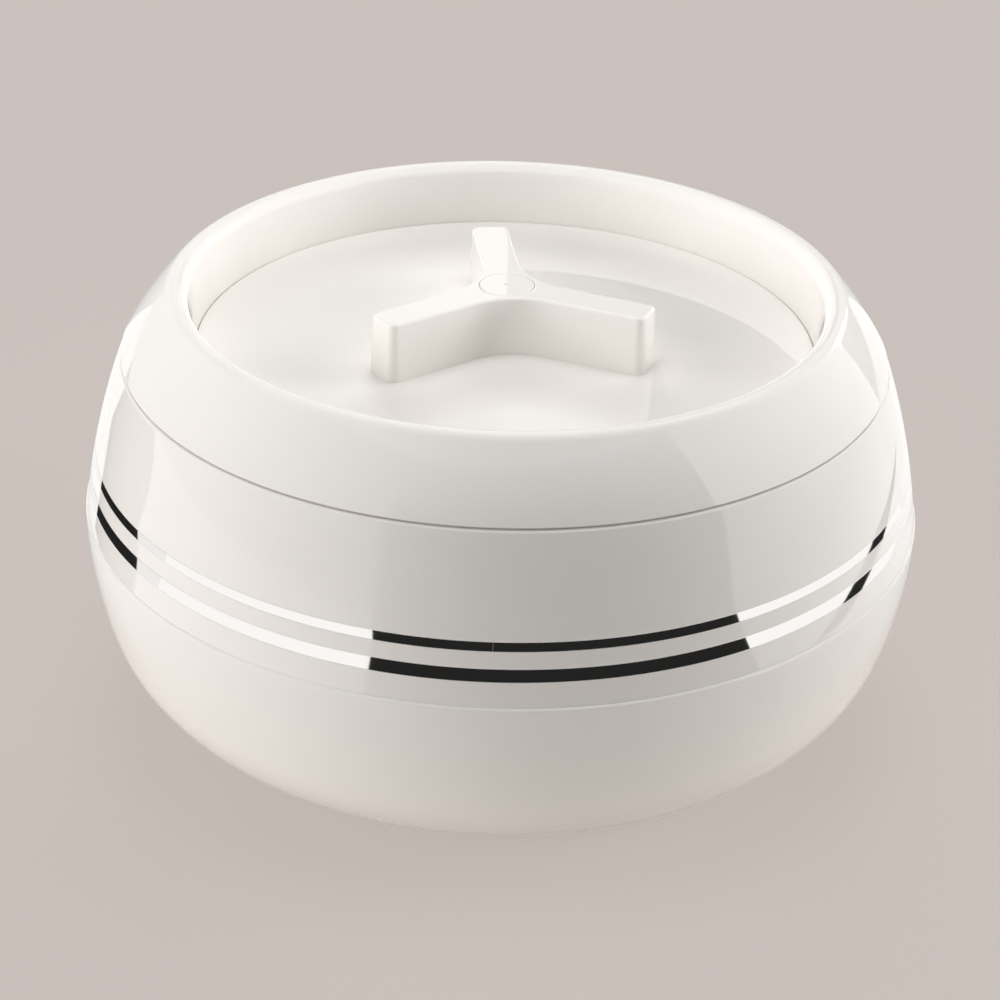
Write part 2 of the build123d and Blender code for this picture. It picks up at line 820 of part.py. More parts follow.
with BuildPart() as knob_screw:
    with BuildSketch(Plane.XY.offset(boss_bottom + screw_tail_gap)):
        Circle(screw_radius)
    extrude(amount=washer_top - boss_bottom - screw_tail_gap)
    with BuildSketch(Plane.XY.offset(washer_top)):
        Circle(screw_head_radius)
    extrude(amount=screw_head_height)
    with BuildSketch(Plane.XY.offset(screw_top - slot_depth)):
        Rectangle(slot_length, slot_width)
        Rectangle(slot_width, slot_length)
    extrude(amount=slot_depth, mode=Mode.SUBTRACT)
knob_screw.part.label = "knob_screw"
export_step(knob_screw.part, "parts/knob_screw.step")
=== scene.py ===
import math

import bpy
import numpy as np
from mathutils import Matrix, Vector


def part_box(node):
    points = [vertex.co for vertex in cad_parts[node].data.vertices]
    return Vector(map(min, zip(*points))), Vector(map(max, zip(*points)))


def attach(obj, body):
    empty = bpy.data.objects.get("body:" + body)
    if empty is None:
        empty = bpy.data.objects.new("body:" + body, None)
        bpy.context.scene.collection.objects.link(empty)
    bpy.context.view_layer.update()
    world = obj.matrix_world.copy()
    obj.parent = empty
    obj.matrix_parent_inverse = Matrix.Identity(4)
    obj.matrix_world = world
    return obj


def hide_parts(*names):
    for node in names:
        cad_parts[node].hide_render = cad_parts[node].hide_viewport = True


bl_info = {
    "name": "Insulated Casserole",
    "version": (1, 0, 0),
    "blender": (4, 5, 0),
    "location": "3D View > Sidebar > Casserole",
    "description": "Builds an insulated casserole with its lid, and its studio",
    "category": "Add Mesh",
}

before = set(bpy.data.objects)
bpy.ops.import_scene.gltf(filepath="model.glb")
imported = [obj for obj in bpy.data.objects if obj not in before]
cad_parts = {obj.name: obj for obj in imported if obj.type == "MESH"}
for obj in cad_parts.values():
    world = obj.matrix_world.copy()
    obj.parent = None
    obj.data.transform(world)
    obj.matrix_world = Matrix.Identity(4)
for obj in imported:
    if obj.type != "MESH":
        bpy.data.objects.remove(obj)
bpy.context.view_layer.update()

FULL_TURN = 2 * math.pi
CREASE = math.radians(28)  # edges sharper than this stay crisp
NO_LENGTH, NO_ANGLE = 1e-12, 1e-6  # what stands in for zero where it would divide
TOGETHER = 2e-7  # points nearer than this are one, in metres
FLAT_LEAD = 0.15  # how far outside a rounding the point lies that keeps the flat flat, per radius
HUB, SMALL_HUB = 0.004, 0.001  # where the fans begin that close wide discs, and plugs and the cap
SHELL_RING, RING, CAP_RING, PLUG_RING = 360, 288, 144, 96  # points round the axis
STRIP_STEPS = 720  # steps along a strip
FRONT = -90  # the direction of the front from the X axis, in degrees
CLOTH_COLUMNS, DOME_ROWS, SHEET_ROWS = 65, 17, 25  # points across and up the studio's cloth
FLOOR_REACH = 30  # from the middle of the floor to its edge, in metres
NOISE = "ShaderNodeTexNoise", "Fac", {}  # a texture's kind, output and settings


# ------------------------------------------------------------------ sizes and colours


def length(name, description, default):
    """A size in metres."""
    return bpy.props.FloatProperty(
        name=name, description=description, default=default, min=0.0, precision=5, unit="LENGTH"
    )


def angle(name, description, default):
    """An angle, given in degrees and kept in radians."""
    default = math.radians(default)
    return bpy.props.FloatProperty(
        name=name, description=description, default=default, subtype="ANGLE", unit="ROTATION"
    )


def linear(hex_colour):
    """Linear colour of sRGB hex: a share of 1/12.92 near black, a power of 2.4 above it."""
    parts = np.array([int(hex_colour[i : i + 2], 16) for i in (1, 3, 5)]) / 255
    curve = np.where(parts <= 0.04045, parts / 12.92, ((parts + 0.055) / 1.055) ** 2.4)
    return (*curve.tolist(), 1.0)


def tint(name, description, hex_colour):
    """A colour, given as sRGB hex and kept linear."""
    default = linear(hex_colour)
    return bpy.props.FloatVectorProperty(
        name=name, description=description, default=default, size=4, min=0, max=1, subtype="COLOR"
    )


class CASSEROLE_PG_body(bpy.types.PropertyGroup):
    radius: length("Radius", "Widest radius, at the waist line", 0.125)
    waist_height: length("Waist height", "Where the two shells meet", 0.064)
    mouth_height: length("Mouth height", "Top edge of the shoulder", 0.1104)
    mouth_radius: length("Mouth radius", "Outer radius at the top edge", 0.1126)
    shoulder_curve: length("Shoulder curve", "Radius of the shoulder's arc", 0.207)
    corner_curve: length("Corner curve", "Radius of the corner down to the foot", 0.0387)
    wall: length("Wall", "Wall of both shells", 0.0024)
    waist_lip: length("Waist lip", "Ledge of the lower shell outside the shoulder", 0.0006)
    lip_rounding: length("Lip rounding", "Rounding of the ledge's edge", 0.0012)
    lap_depth: length("Lap depth", "Tongue of the shoulder inside the lower shell", 0.006)
    lap_radius: length("Lap radius", "Outer radius of the tongue", 0.12215)
    lap_wall: length("Lap wall", "Thickness of the tongue", 0.0016)
    lap_root: length("Lap root", "Height of the tongue's root above the waist", 0.003)
    mouth_rounding: length("Mouth rounding", "Rounding of the outer edge of the mouth", 0.0012)
    seat_radius: length("Seat radius", "Inner radius of the top edge, round the collar", 0.1104)
    ledge_height: length("Ledge height", "Height of the ledge under the collar", 0.1084)
    neck_radius: length("Neck radius", "Inner radius under the ledge", 0.10875)
    foot_height: length("Foot height", "How far the foot ring lifts the shell", 0.002)
    opening_radius: length("Opening radius", "Opening in the bottom for the base cover", 0.07785)
    edge: length("Edge", "Rounding of the edges that other pieces meet", 0.0002)
    lap_edge: length("Lap edge", "Rounding of the tongue's lower edges", 0.0003)


class CASSEROLE_PG_bands(bpy.types.PropertyGroup):
    lower_rise: length("Lower rise", "From the waist line up to the wide strip", 0.0072)
    lower_height: length("Lower height", "Height of the wide strip", 0.0037)
    upper_rise: length("Upper rise", "From the waist line up to the narrow strip", 0.0156)
    upper_height: length("Upper height", "Height of the narrow strip", 0.0026)
    thickness: length("Thickness", "Thickness of the strips", 0.0004)
    proud: length("Proud", "How far the strips stand out of the shell", 0.00005)
    fit: length("Fit", "Gap between strip and groove", 0.00004)
    joint_gap: length("Joint gap", "Gap at a strip's butt joint", 0.0002)
    upper_joint: angle("Upper joint", "Direction of the narrow strip's joint, at the front", -90.5)
    lower_joint: angle("Lower joint", "Direction of the wide strip's joint, at the back", 90.0)


class CASSEROLE_PG_base(bpy.types.PropertyGroup):
    ring_outer: length("Ring outer", "Outer radius of the foot ring", 0.0805)
    ring_inner: length("Ring inner", "Inner radius of the foot ring", 0.0755)
    seat_radius: length("Seat radius", "Outer radius of the cover's spigot", 0.0777)
    wall: length("Wall", "Thickness of the cover", 0.0024)
    spigot_height: length("Spigot height", "Height of the spigot inside the shell", 0.003)
    spigot_wall: length("Spigot wall", "Thickness of the spigot", 0.002)
    hole_radius: length("Hole radius", "Foam filling hole", 0.010)
    plug_flange: length("Plug flange", "Width of the plug's flange", 0.003)
    plug_height: length("Plug height", "Height of the plug's flange", 0.0012)
    plug_fit: length("Plug fit", "Gap between a plug's stem and its hole", 0.00015)
    plug_edge: length("Plug edge", "Rounding of the flange where it seats", 0.0001)
    edge: length("Edge", "Rounding of the moulded edges", 0.0004)


class CASSEROLE_PG_bowl(bpy.types.PropertyGroup):
    inner_radius: length("Inner radius", "Radius of the bowl inside", 0.097)
    floor_height: length("Floor height", "Underside of the bowl's floor", 0.0154)
    rim_height: length("Rim height", "Top of the rolled rim", 0.1052)
    sheet: length("Sheet", "Thickness of the steel", 0.0006)
    corner: length("Corner", "Outer radius of the floor's corner", 0.024)
    rim_bend: length("Rim bend", "Outer radius of the bends at the rim", 0.001)
    lip_outer: length("Lip outer", "Outer radius of the rolled lip", 0.1011)
    lip_drop: length("Lip drop", "How far the lip is turned down", 0.0036)


class CASSEROLE_PG_collar(bpy.types.PropertyGroup):
    bore: length("Bore", "Inner radius of the collar", 0.0981)
    inner_face: length("Inner face", "Outer radius of the wall inside the steel lip", 0.1001)
    well_outer: length("Well outer", "Outer radius of the well for the lid's skirt", 0.1064)
    outer: length("Outer", "Outer radius of the collar's wall", 0.1086)
    flange: length("Flange", "Outer radius of the flange", 0.11025)
    top: length("Top", "Top of the flange", 0.1102)
    ledge: length("Ledge", "Underside of the flange", 0.1084)
    well_floor: length("Well floor", "Floor of the well", 0.0996)
    bottom: length("Bottom", "Underside of the collar", 0.0976)
    tab_tip: length("Tab tip", "Inner radius of the lock tabs", 0.1046)
    tab_bottom: length("Tab bottom", "Underside of the lock tabs", 0.1028)
    tab_height: length("Tab height", "Thickness of the lock tabs", 0.0022)
    tab_span: angle("Tab span", "Length of a lock tab round the ring", 20.0)
    stop_span: angle("Stop span", "Length of a stop round the ring", 2.0)
    stop_clearance: angle("Stop clearance", "Play between lug and stop when locked", 0.5)
    edge: length("Edge", "Rounding of the moulded edges", 0.0003)


class CASSEROLE_PG_lid(bpy.types.PropertyGroup):
    foot_height: length("Foot height", "Lower edge of the crown", 0.1109)
    foot_radius: length("Foot radius", "Outer radius of the lower edge", 0.1126)
    top: length("Top", "Top of the crest", 0.1304)
    wall: length("Wall", "Wall of the crown", 0.0024)
    crest_curve: length("Crest curve", "Radius of the crest", 0.004)
    flank_curve: length("Flank curve", "Radius of the flank's arc", 0.100)
    recess_radius: length("Recess radius", "Radius of the recess at its floor", 0.09105)
    recess_draft: angle("Recess draft", "How far the recess's wall leans back", 5.5)
    hidden_radius: length("Hidden radius", "Back face of the recess's wall", 0.09345)
    rebate_wall: length("Rebate wall", "Wall left outside the liner's flange", 0.0012)
    rebate_top: length("Rebate top", "Top of the liner's flange", 0.1129)
    foot_edge: length("Foot edge", "Rounding of the lower edge", 0.00025)
    panel_top: length("Panel top", "Top of the disc in the recess", 0.1117)
    panel_radius: length("Panel radius", "Radius of the disc", 0.0909)
    panel_thickness: length("Panel thickness", "Thickness of the disc", 0.0022)
    panel_edge: length("Panel edge", "Rounding of the disc's edge", 0.0003)
    ledge_width: length("Ledge width", "Ledge that carries the disc", 0.004)
    ledge_height: length("Ledge height", "Thickness of that ledge", 0.0018)


class CASSEROLE_PG_liner(bpy.types.PropertyGroup):
    bottom: length("Bottom", "Underside of the liner's plug", 0.0985)
    plug_outer: length("Plug outer", "Outer radius of the plug", 0.096)
    wall: length("Wall", "Wall of the liner", 0.002)
    plug_corner: length("Plug corner", "Rounding of the plug's lower edge", 0.0025)
    bead_reach: length("Bead reach", "How far the seal's beads stand out", 0.0008)
    bead_height: length("Bead height", "Height of the beads", 0.0008)
    bead_top: length("Bead top", "Top of the beads", 0.1064)
    groove_roof: length("Groove roof", "Roof of the seal's groove", 0.1080)
    skirt_inner: length("Skirt inner", "Inner radius of the skirt", 0.1022)
    skirt_outer: length("Skirt outer", "Outer radius of the skirt", 0.1042)
    skirt_bottom: length("Skirt bottom", "Lower edge of the skirt", 0.1004)
    lug_tip: length("Lug tip", "Outer radius of the lock lugs", 0.1060)
    lug_height: length("Lug height", "Thickness of the lock lugs", 0.002)
    lug_span: angle("Lug span", "Length of a lug round the skirt", 16.0)
    first_lug: angle("First lug", "Direction of the first lug", 30.0)
    lock_turn: angle("Lock turn", "Turn from free to locked", 22.0)
    hole_radius: length("Hole radius", "Foam filling hole", 0.008)
    edge: length("Edge", "Rounding of the moulded edges", 0.0003)


class CASSEROLE_PG_knob(bpy.types.PropertyGroup):
    arm_length: length("Arm length", "From the axis to an arm's end, at the top", 0.0446)
    arm_width: length("Arm width", "Width of an arm at the top", 0.011)
    height: length("Height", "Height above the disc", 0.0176)
    draft: angle("Draft", "How far the faces lean in", 2.5)
    blend: length("Blend", "Radius of the hollow between two arms, at the foot", 0.022)
    tip: length("Tip", "Radius of an arm's upright edges, at the foot", 0.0032)
    edge: length("Edge", "Rounding of the top edge", 0.0009)
    first_arm: angle("First arm", "Direction of the first arm", -22.4)
    cap_radius: length("Cap radius", "Radius of the cap in the top", 0.008)
    cap_thickness: length("Cap thickness", "Thickness of the cap", 0.0015)
    cap_fit: length("Cap fit", "Gap round the cap", 0.00015)
    cap_edge: length("Cap edge", "Rounding of the cap's edge", 0.00015)
    seat_edge: length("Seat edge", "Rounding of the seat's edge round the cap", 0.00012)
    gate_radius: length("Gate radius", "Radius of the gate mark in the cap", 0.0009)
    gate_depth: length("Gate depth", "Depth of the gate mark", 0.0002)
    gate_edge: length("Gate edge", "Rounding of the gate mark's edges", 0.00008)


class CASSEROLE_PG_colours(bpy.types.PropertyGroup):
    shell: tint("Shell", "Glossy outer plastic", "#F1EDE9")
    shell_flow: tint("Shell flow", "The same where the melt flowed thicker", "#EEEAE6")
    inner: tint("Inner plastic", "Satin plastic of collar, liner and base", "#E9E6E0")
    inner_flow: tint("Inner flow", "The same where the melt flowed thicker", "#E3DFD8")
    strip: tint("Strip", "Polished steel of the strips", "#EAE8E5")
    steel: tint("Steel", "Spun steel of the bowl", "#C9C8C6")
    seal: tint("Seal", "Silicone of the sealing ring", "#DDDFDC")
    seal_dust: tint("Seal dust", "The silicone where dust sticks", "#D0D1CC")
    foam: tint("Foam", "Polyurethane insulation", "#EDE2C0")
    foam_pore: tint("Foam pore", "Open pores of the insulation", "#D6C69A")
    screw: tint("Screw", "Zinc-plated screw and washer", "#BFC1C4")
    floor: tint("Floor", "Floor and backdrop as they are seen", "#CBC2BD")
    paper: tint("Paper", "Paper of the floor as the lamps light it", "#F2ECE5")


class CASSEROLE_PG_sizes(bpy.types.PropertyGroup):
    body: bpy.props.PointerProperty(type=CASSEROLE_PG_body)
    bands: bpy.props.PointerProperty(type=CASSEROLE_PG_bands)
    base: bpy.props.PointerProperty(type=CASSEROLE_PG_base)
    bowl: bpy.props.PointerProperty(type=CASSEROLE_PG_bowl)
    collar: bpy.props.PointerProperty(type=CASSEROLE_PG_collar)
    lid: bpy.props.PointerProperty(type=CASSEROLE_PG_lid)
    liner: bpy.props.PointerProperty(type=CASSEROLE_PG_liner)
    knob: bpy.props.PointerProperty(type=CASSEROLE_PG_knob)
    colours: bpy.props.PointerProperty(type=CASSEROLE_PG_colours)


# ------------------------------------------------------------------ outlines and surfaces


def unit(turn):
    """Directions (cos a, sin a) of angles."""
    return np.stack([np.cos(turn), np.sin(turn)], axis=-1)


def scaled(rows):
    """Rows brought to a length of one."""
    return rows / np.maximum(np.linalg.norm(rows, axis=1, keepdims=True), NO_LENGTH)


def arc(centre, radius, start, end, steps):
    """Points centre + radius * (cos a, sin a) while a goes evenly from start to end."""
    return np.asarray(centre) + radius * unit(np.linspace(start, end, steps + 1))


def outline(*parts, steps=12):
    """Joins runs of points and corners (r, z, rounding) into one outline and rounds its corners.

    A rounding touches both sides at rounding / tan(half the corner's angle) from the tip, and its
    centre lies on the bisector at rounding / sin(half). One more point just outside each rounding
    keeps the flat beside it flat. Points that fall together are dropped.
    """
    runs = [np.atleast_2d(np.asarray(part, float)) for part in parts]
    runs = [np.pad(run, ((0, 0), (0, 3 - run.shape[1]))) for run in runs]
    tips, rounding = np.split(np.concatenate(runs), [2], axis=1)
    back, ahead = (scaled(np.roll(tips, step, axis=0) - tips) for step in (1, -1))
    half = np.arccos(np.clip((back * ahead).sum(1, keepdims=True), -1, 1)) / 2
    half = np.maximum(half, NO_ANGLE)
    reach = rounding / np.tan(half)
    centre = tips + scaled(back + ahead) * rounding / np.sin(half)
    first, last = tips + back * reach - centre, tips + ahead * reach - centre
    begin = np.arctan2(first[:, 1:], first[:, :1])
    sweep = np.arctan2(last[:, 1:], last[:, :1]) - begin
    sweep = (sweep + math.pi) % FULL_TURN - math.pi
    turn = begin + sweep * np.linspace(0, 1, steps + 1)
    rounded = centre[:, None] + rounding[:, :, None] * unit(turn)
    lead = reach + rounding * FLAT_LEAD
    points = [(tips + back * lead)[:, None], rounded, (tips + ahead * lead)[:, None]]
    points = np.concatenate(points, axis=1).reshape(-1, 2)
    return points[np.linalg.norm(points - np.roll(points, 1, axis=0), axis=1) > TOGETHER]


def revolved(radius, height, turn):
    """Points (r cos a, r sin a, z) of radii, heights and angles that spread over one grid."""
    radius, height, turn = np.broadcast_arrays(radius, height, turn)
    return np.stack([radius * np.cos(turn), radius * np.sin(turn), height], axis=-1)


def turned(section, segments=RING):
    """Carries an outline all round the axis. Rows follow the outline."""
    return revolved(section[:, :1], section[:, 1:], np.arange(segments) * FULL_TURN / segments)


def carried(section, start, end, steps):
    """Carries a closed outline round the axis from one angle to another. Rows follow the angle."""
    return revolved(section[::-1, 0], section[::-1, 1], np.linspace(start, end, steps + 1)[:, None])


def skin(grid, closed):
    """Faces over a grid of points whose columns run all round.

    Each face joins point (i, j) to (i, j+1), (i+1, j+1) and (i+1, j). Closed rows join the last to
    the first; otherwise each end is closed by a fan round its middle point.
    """
    rows, columns = grid.shape[:2]
    number = np.arange(rows * columns).reshape(rows, columns)
    beside = np.roll(number, -1, axis=1)
    above, above_beside = np.roll(number, -1, axis=0), np.roll(beside, -1, axis=0)
    used = rows if closed else rows - 1
    quads = np.stack([number, beside, above_beside, above], axis=-1)[:used].reshape(-1, 4)
    points, triangles = grid.reshape(-1, 3), np.empty((0, 3), int)
    if not closed:
        low, high = np.full(columns, len(points)), np.full(columns, len(points) + 1)
        fans = (low, beside[0], number[0]), (high, number[-1], beside[-1])
        triangles = np.concatenate([np.stack(fan, axis=-1) for fan in fans])
        points = np.concatenate([points, grid[[0, -1]].mean(axis=1)])
    return points, quads, triangles


def thirds(section, start, span, steps):
    """An outline carried through a span from start, three times round the axis."""
    starts = start + np.arange(3) * FULL_TURN / 3
    return [skin(carried(section, first, first + span, steps), closed=False) for first in starts]


def add_piece(name, skins, body, slot, *nodes):
    """Puts skins into one mesh object with its slot's material, fixed to its CAD body, and hides
    the CAD nodes it replaces.
    """
    firsts = np.cumsum([0] + [len(points) for points, _, _ in skins])
    points = np.concatenate([points for points, _, _ in skins])
    quads, triangles = (
        np.concatenate([faces[kind] + first for faces, first in zip(skins, firsts)])
        for kind in (1, 2)
    )
    mesh = bpy.data.meshes.new(name)
    mesh.vertices.add(len(points))
    mesh.vertices.foreach_set("co", points.astype(np.float32).ravel())
    mesh.loops.add(quads.size + triangles.size)
    corners = np.concatenate([quads.ravel(), triangles.ravel()])
    mesh.loops.foreach_set("vertex_index", corners.astype(np.int32))
    mesh.polygons.add(len(quads) + len(triangles))
    starts = np.concatenate([np.arange(len(quads)) * 4, quads.size + np.arange(len(triangles)) * 3])
    mesh.polygons.foreach_set("loop_start", starts.astype(np.int32))
    mesh.update(calc_edges=True)
    mesh.shade_smooth()
    mesh.set_sharp_from_angle(angle=CREASE)
    if mesh.validate():
        raise RuntimeError(f"the mesh of {name} has broken faces")
    mesh.materials.append(finish(slot))
    piece = bpy.data.objects.new(name, mesh)
    bpy.context.scene.collection.objects.link(piece)
    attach(piece, body)
    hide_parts(*nodes)


def add_turned(name, section, body, slot, node, segments=RING, closed=True):
    """Adds a piece whose outline is carried all round the axis."""
    add_piece(name, [skin(turned(section, segments), closed)], body, slot, node)


# ------------------------------------------------------------------ materials


def new_material(name):
    """An empty material and its node tree."""
    material = bpy.data.materials.new(name)
    material.use_nodes = True
    material.node_tree.nodes.clear()
    return material, material.node_tree


def add_node(tree, kind, inputs=None, **settings):
    """Adds a node, sets its settings, and gives each input a value or a link from an output."""
    made = tree.nodes.new(kind)
    for setting, value in settings.items():
        setattr(made, setting, value)
    for socket, value in (inputs or {}).items():
        if isinstance(value, bpy.types.NodeSocket):
            tree.links.new(value, made.inputs[socket])
        else:
            made.inputs[socket].default_value = value
    return made


def patterned(name, patterns, colour, roughness, relief=None, lay=None, texture=NOISE, **shader):
    """A material whose colour, roughness and relief follow patterns in Object coordinates.

    patterns holds each pattern's inputs by its name, and texture the kind, output and settings of
    their node. colour is (pattern, from, to) or one colour, roughness (pattern, smooth, rough) or
    one value, and relief (pattern, strength, depth in metres). lay changes the coordinates first.
    What is left goes to the shader's own sockets.
    """
    material, tree = new_material(name)
    place = add_node(tree, "ShaderNodeTexCoord").outputs["Object"]
    place = lay(tree, place) if lay else place
    kind, output, settings = texture
    shares = {
        pattern: add_node(tree, kind, {"Vector": place, **inputs}, **settings).outputs[output]
        for pattern, inputs in patterns.items()
    }
    if isinstance(colour, tuple):
        blend = {0: shares[colour[0]], 6: tuple(colour[1]), 7: tuple(colour[2])}
        shader["Base Color"] = add_node(tree, "ShaderNodeMix", blend, data_type="RGBA").outputs[2]
    else:
        shader["Base Color"] = tuple(colour)
    if isinstance(roughness, tuple):
        span = {"Value": shares[roughness[0]], "To Min": roughness[1], "To Max": roughness[2]}
        roughness = add_node(tree, "ShaderNodeMapRange", span).outputs["Result"]
    shader["Roughness"] = roughness
    if relief:
        bump = {"Height": shares[relief[0]], "Strength": relief[1], "Distance": relief[2]}
        shader["Normal"] = add_node(tree, "ShaderNodeBump", bump).outputs["Normal"]
    surface = add_node(tree, "ShaderNodeBsdfPrincipled", shader)
    add_node(tree, "ShaderNodeOutputMaterial", {"Surface": surface.outputs["BSDF"]})
    return material


def glossy_moulded_polypropylene(colours):
    """Outer shells, lid, knob and its cap."""
    # Polypropylene from a polished mould: a bright, almost even white with sharp reflections. The
    # melt's flow leaves broad patches a shade apart, and shrinking leaves a ripple of a few microns
    # that makes the edge of a reflection waver.
    return dict(
        patterns={
            "flow": {"Scale": 1 / 0.045, "Detail": 2.0},
            "haze": {"Scale": 1 / 0.014, "Detail": 3.0},
            "ripple": {"Scale": 1 / 0.009, "Detail": 1.0},
        },
        colour=("flow", colours.shell, colours.shell_flow),
        roughness=("haze", 0.006, 0.024),
        relief=("ripple", 1.0, 0.000003),
        IOR=1.49,
    )


def mirror_polished_steel_strip(colours):
    """The two strips round the shoulder."""
    # Thin stainless strip, buffed along its length: a cool, almost clean mirror in which faint
    # lengthwise lines smear the highlights. They are drawn at 0.12 mm, about ten times the grit.
    return dict(
        patterns={"lines": {"Scale": 1.0, "Detail": 2.0}},
        colour=colours.strip,
        roughness=("lines", 0.02, 0.06),
        relief=("lines", 1.0, 0.0000004),
        lay=stretched_round,
        Metallic=1.0,
    )


def stretched_round(tree, place):
    """Coordinates in which a pattern is long round the casserole and fine up and down."""
    scale = (30.0, 30.0, 1 / 0.00012)
    return add_node(tree, "ShaderNodeMapping", {"Vector": place, "Scale": scale}).outputs["Vector"]


def spun_stainless_steel(colours):
    """The bowl."""
    # Stainless sheet, drawn and then polished on a lathe: soft stretched highlights over fine
    # rings round the axis. They are drawn at 0.35 mm, several times the real grit, so as to show.
    return dict(
        patterns={"rings": {"Scale": 1 / 0.00035, "Detail": 3.0}},
        colour=colours.steel,
        roughness=("rings", 0.16, 0.30),
        relief=("rings", 1.0, 0.000006),
        lay=radius_and_height,
        texture=("ShaderNodeTexNoise", "Fac", {"noise_dimensions": "2D"}),
        Metallic=1.0,
    )


def radius_and_height(tree, place):
    """Coordinates (distance from the axis, height)."""
    radius = length_along(tree, place, (1.0, 1.0, 0.0))
    height = add_node(tree, "ShaderNodeSeparateXYZ", {"Vector": place}).outputs["Z"]
    return add_node(tree, "ShaderNodeCombineXYZ", {"X": radius, "Y": height}).outputs["Vector"]


def length_along(tree, place, along):
    """Length of (place * along)."""
    part = add_node(tree, "ShaderNodeVectorMath", {0: place, 1: along}, operation="MULTIPLY")
    part = {0: part.outputs["Vector"]}
    return add_node(tree, "ShaderNodeVectorMath", part, operation="LENGTH").outputs["Value"]


def satin_moulded_polypropylene(colours):
    """Collar, liner, base cover and plugs."""
    # Polypropylene from a spark-eroded mould: the shells' white without their gloss, over a fine
    # even grain. The grain is drawn at 0.5 mm, about three times its real size.
    return dict(
        patterns={
            "grain": {"Scale": 1 / 0.0005, "Detail": 2.0},
            "flow": {"Scale": 1 / 0.03, "Detail": 2.0},
        },
        colour=("flow", colours.inner, colours.inner_flow),
        roughness=("grain", 0.32, 0.48),
        relief=("grain", 0.6, 0.00003),
        IOR=1.49,
    )


def cured_silicone_rubber(colours):
    """The sealing ring."""
    # Milky silicone: a dull, slightly greyish white with a soft skin that picks up dust.
    return dict(
        patterns={"dust": {"Scale": 1 / 0.002, "Detail": 4.0}},
        colour=("dust", colours.seal, colours.seal_dust),
        roughness=("dust", 0.38, 0.58),
        IOR=1.41,
    )


def rigid_polyurethane_foam(colours):
    """The insulation inside the walls."""
    # Foam cut or moulded against a skin: a dull cream with darker pores of 0.5 to 1 mm.
    return dict(
        patterns={"cells": {"Scale": 1 / 0.0008}},
        colour=("cells", colours.foam, colours.foam_pore),
        roughness=0.95,
        relief=("cells", 0.8, 0.0002),
        texture=("ShaderNodeTexVoronoi", "Distance", {}),
    )


def zinc_plated_steel(colours):
    """The knob's screw and washer."""
    # Bright zinc over turned steel: a bluish grey with a blotchy, half-dull polish.
    return dict(
        patterns={"blotches": {"Scale": 1 / 0.0015, "Detail": 4.0}},
        colour=colours.screw,
        roughness=("blotches", 0.2, 0.42),
        Metallic=1.0,
    )


RECIPES = {
    "shell": glossy_moulded_polypropylene,
    "mirror_strip": mirror_polished_steel_strip,
    "steel": spun_stainless_steel,
    "inner_plastic": satin_moulded_polypropylene,
    "seal": cured_silicone_rubber,
    "foam": rigid_polyurethane_foam,
    "screw_steel": zinc_plated_steel,
}


def finish(slot):
    """The material of a slot's recipe, made once and named after it."""
    recipe = RECIPES[slot]
    made = bpy.data.materials.get(recipe.__name__)
    return made or patterned(recipe.__name__, **recipe(bpy.context.scene.casserole.colours))


def dress(slot, *nodes):
    """Gives a slot's material to CAD nodes that stay as they are."""
    for name in nodes:
        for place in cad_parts[name].material_slots:
            place.material = finish(slot)


# ------------------------------------------------------------------ the body's sections


def shoulder_line(body, inwards, heights):
    """Points of the shoulder's arc at the given heights, moved inwards.

    The arc's centre lies on the upright bisector of the line from waist to mouth, and the radius at
    a height is centre + sqrt(curve squared - (height - centre height) squared).
    """
    foot = np.array([body.radius - body.waist_lip, body.waist_height])
    mouth = np.array([body.mouth_radius, body.mouth_height])
    chord = mouth - foot
    width = np.linalg.norm(chord)
    leg = math.sqrt(body.shoulder_curve**2 - (width / 2) ** 2)
    centre = (foot + mouth) / 2 + np.array([-chord[1], chord[0]]) / width * leg
    heights = np.asarray(heights, float)
    radii = centre[0] + np.sqrt((body.shoulder_curve - inwards) ** 2 - (heights - centre[1]) ** 2)
    return np.column_stack([radii, heights])


def lower_shell_section(body):
    """A corner circle that runs into a side circle, centred on the axis at the waist, and back.

    They touch where both radii lie in line, at asin(drop / (side - corner)) under the waist.
    """
    side, corner, waist = body.radius, body.corner_curve, body.waist_height
    meet = math.asin((waist - corner - body.foot_height) / (side - corner))
    centre = ((side - corner) * math.cos(meet), body.foot_height + corner)
    near_lip = -2 * body.lip_rounding / side
    return outline(
        (body.opening_radius, body.foot_height, body.edge),
        arc(centre, corner, -math.pi / 2, -meet, 48),
        arc((0, waist), side, -meet, near_lip, 32)[1:],
        (side, waist, body.lip_rounding),
        (side - body.wall, waist, 0),
        arc((0, waist), side - body.wall, near_lip, -meet, 24),
        arc(centre, corner - body.wall, -meet, -math.pi / 2, 32)[1:],
        (body.opening_radius, body.foot_height + body.wall, 0),
    )


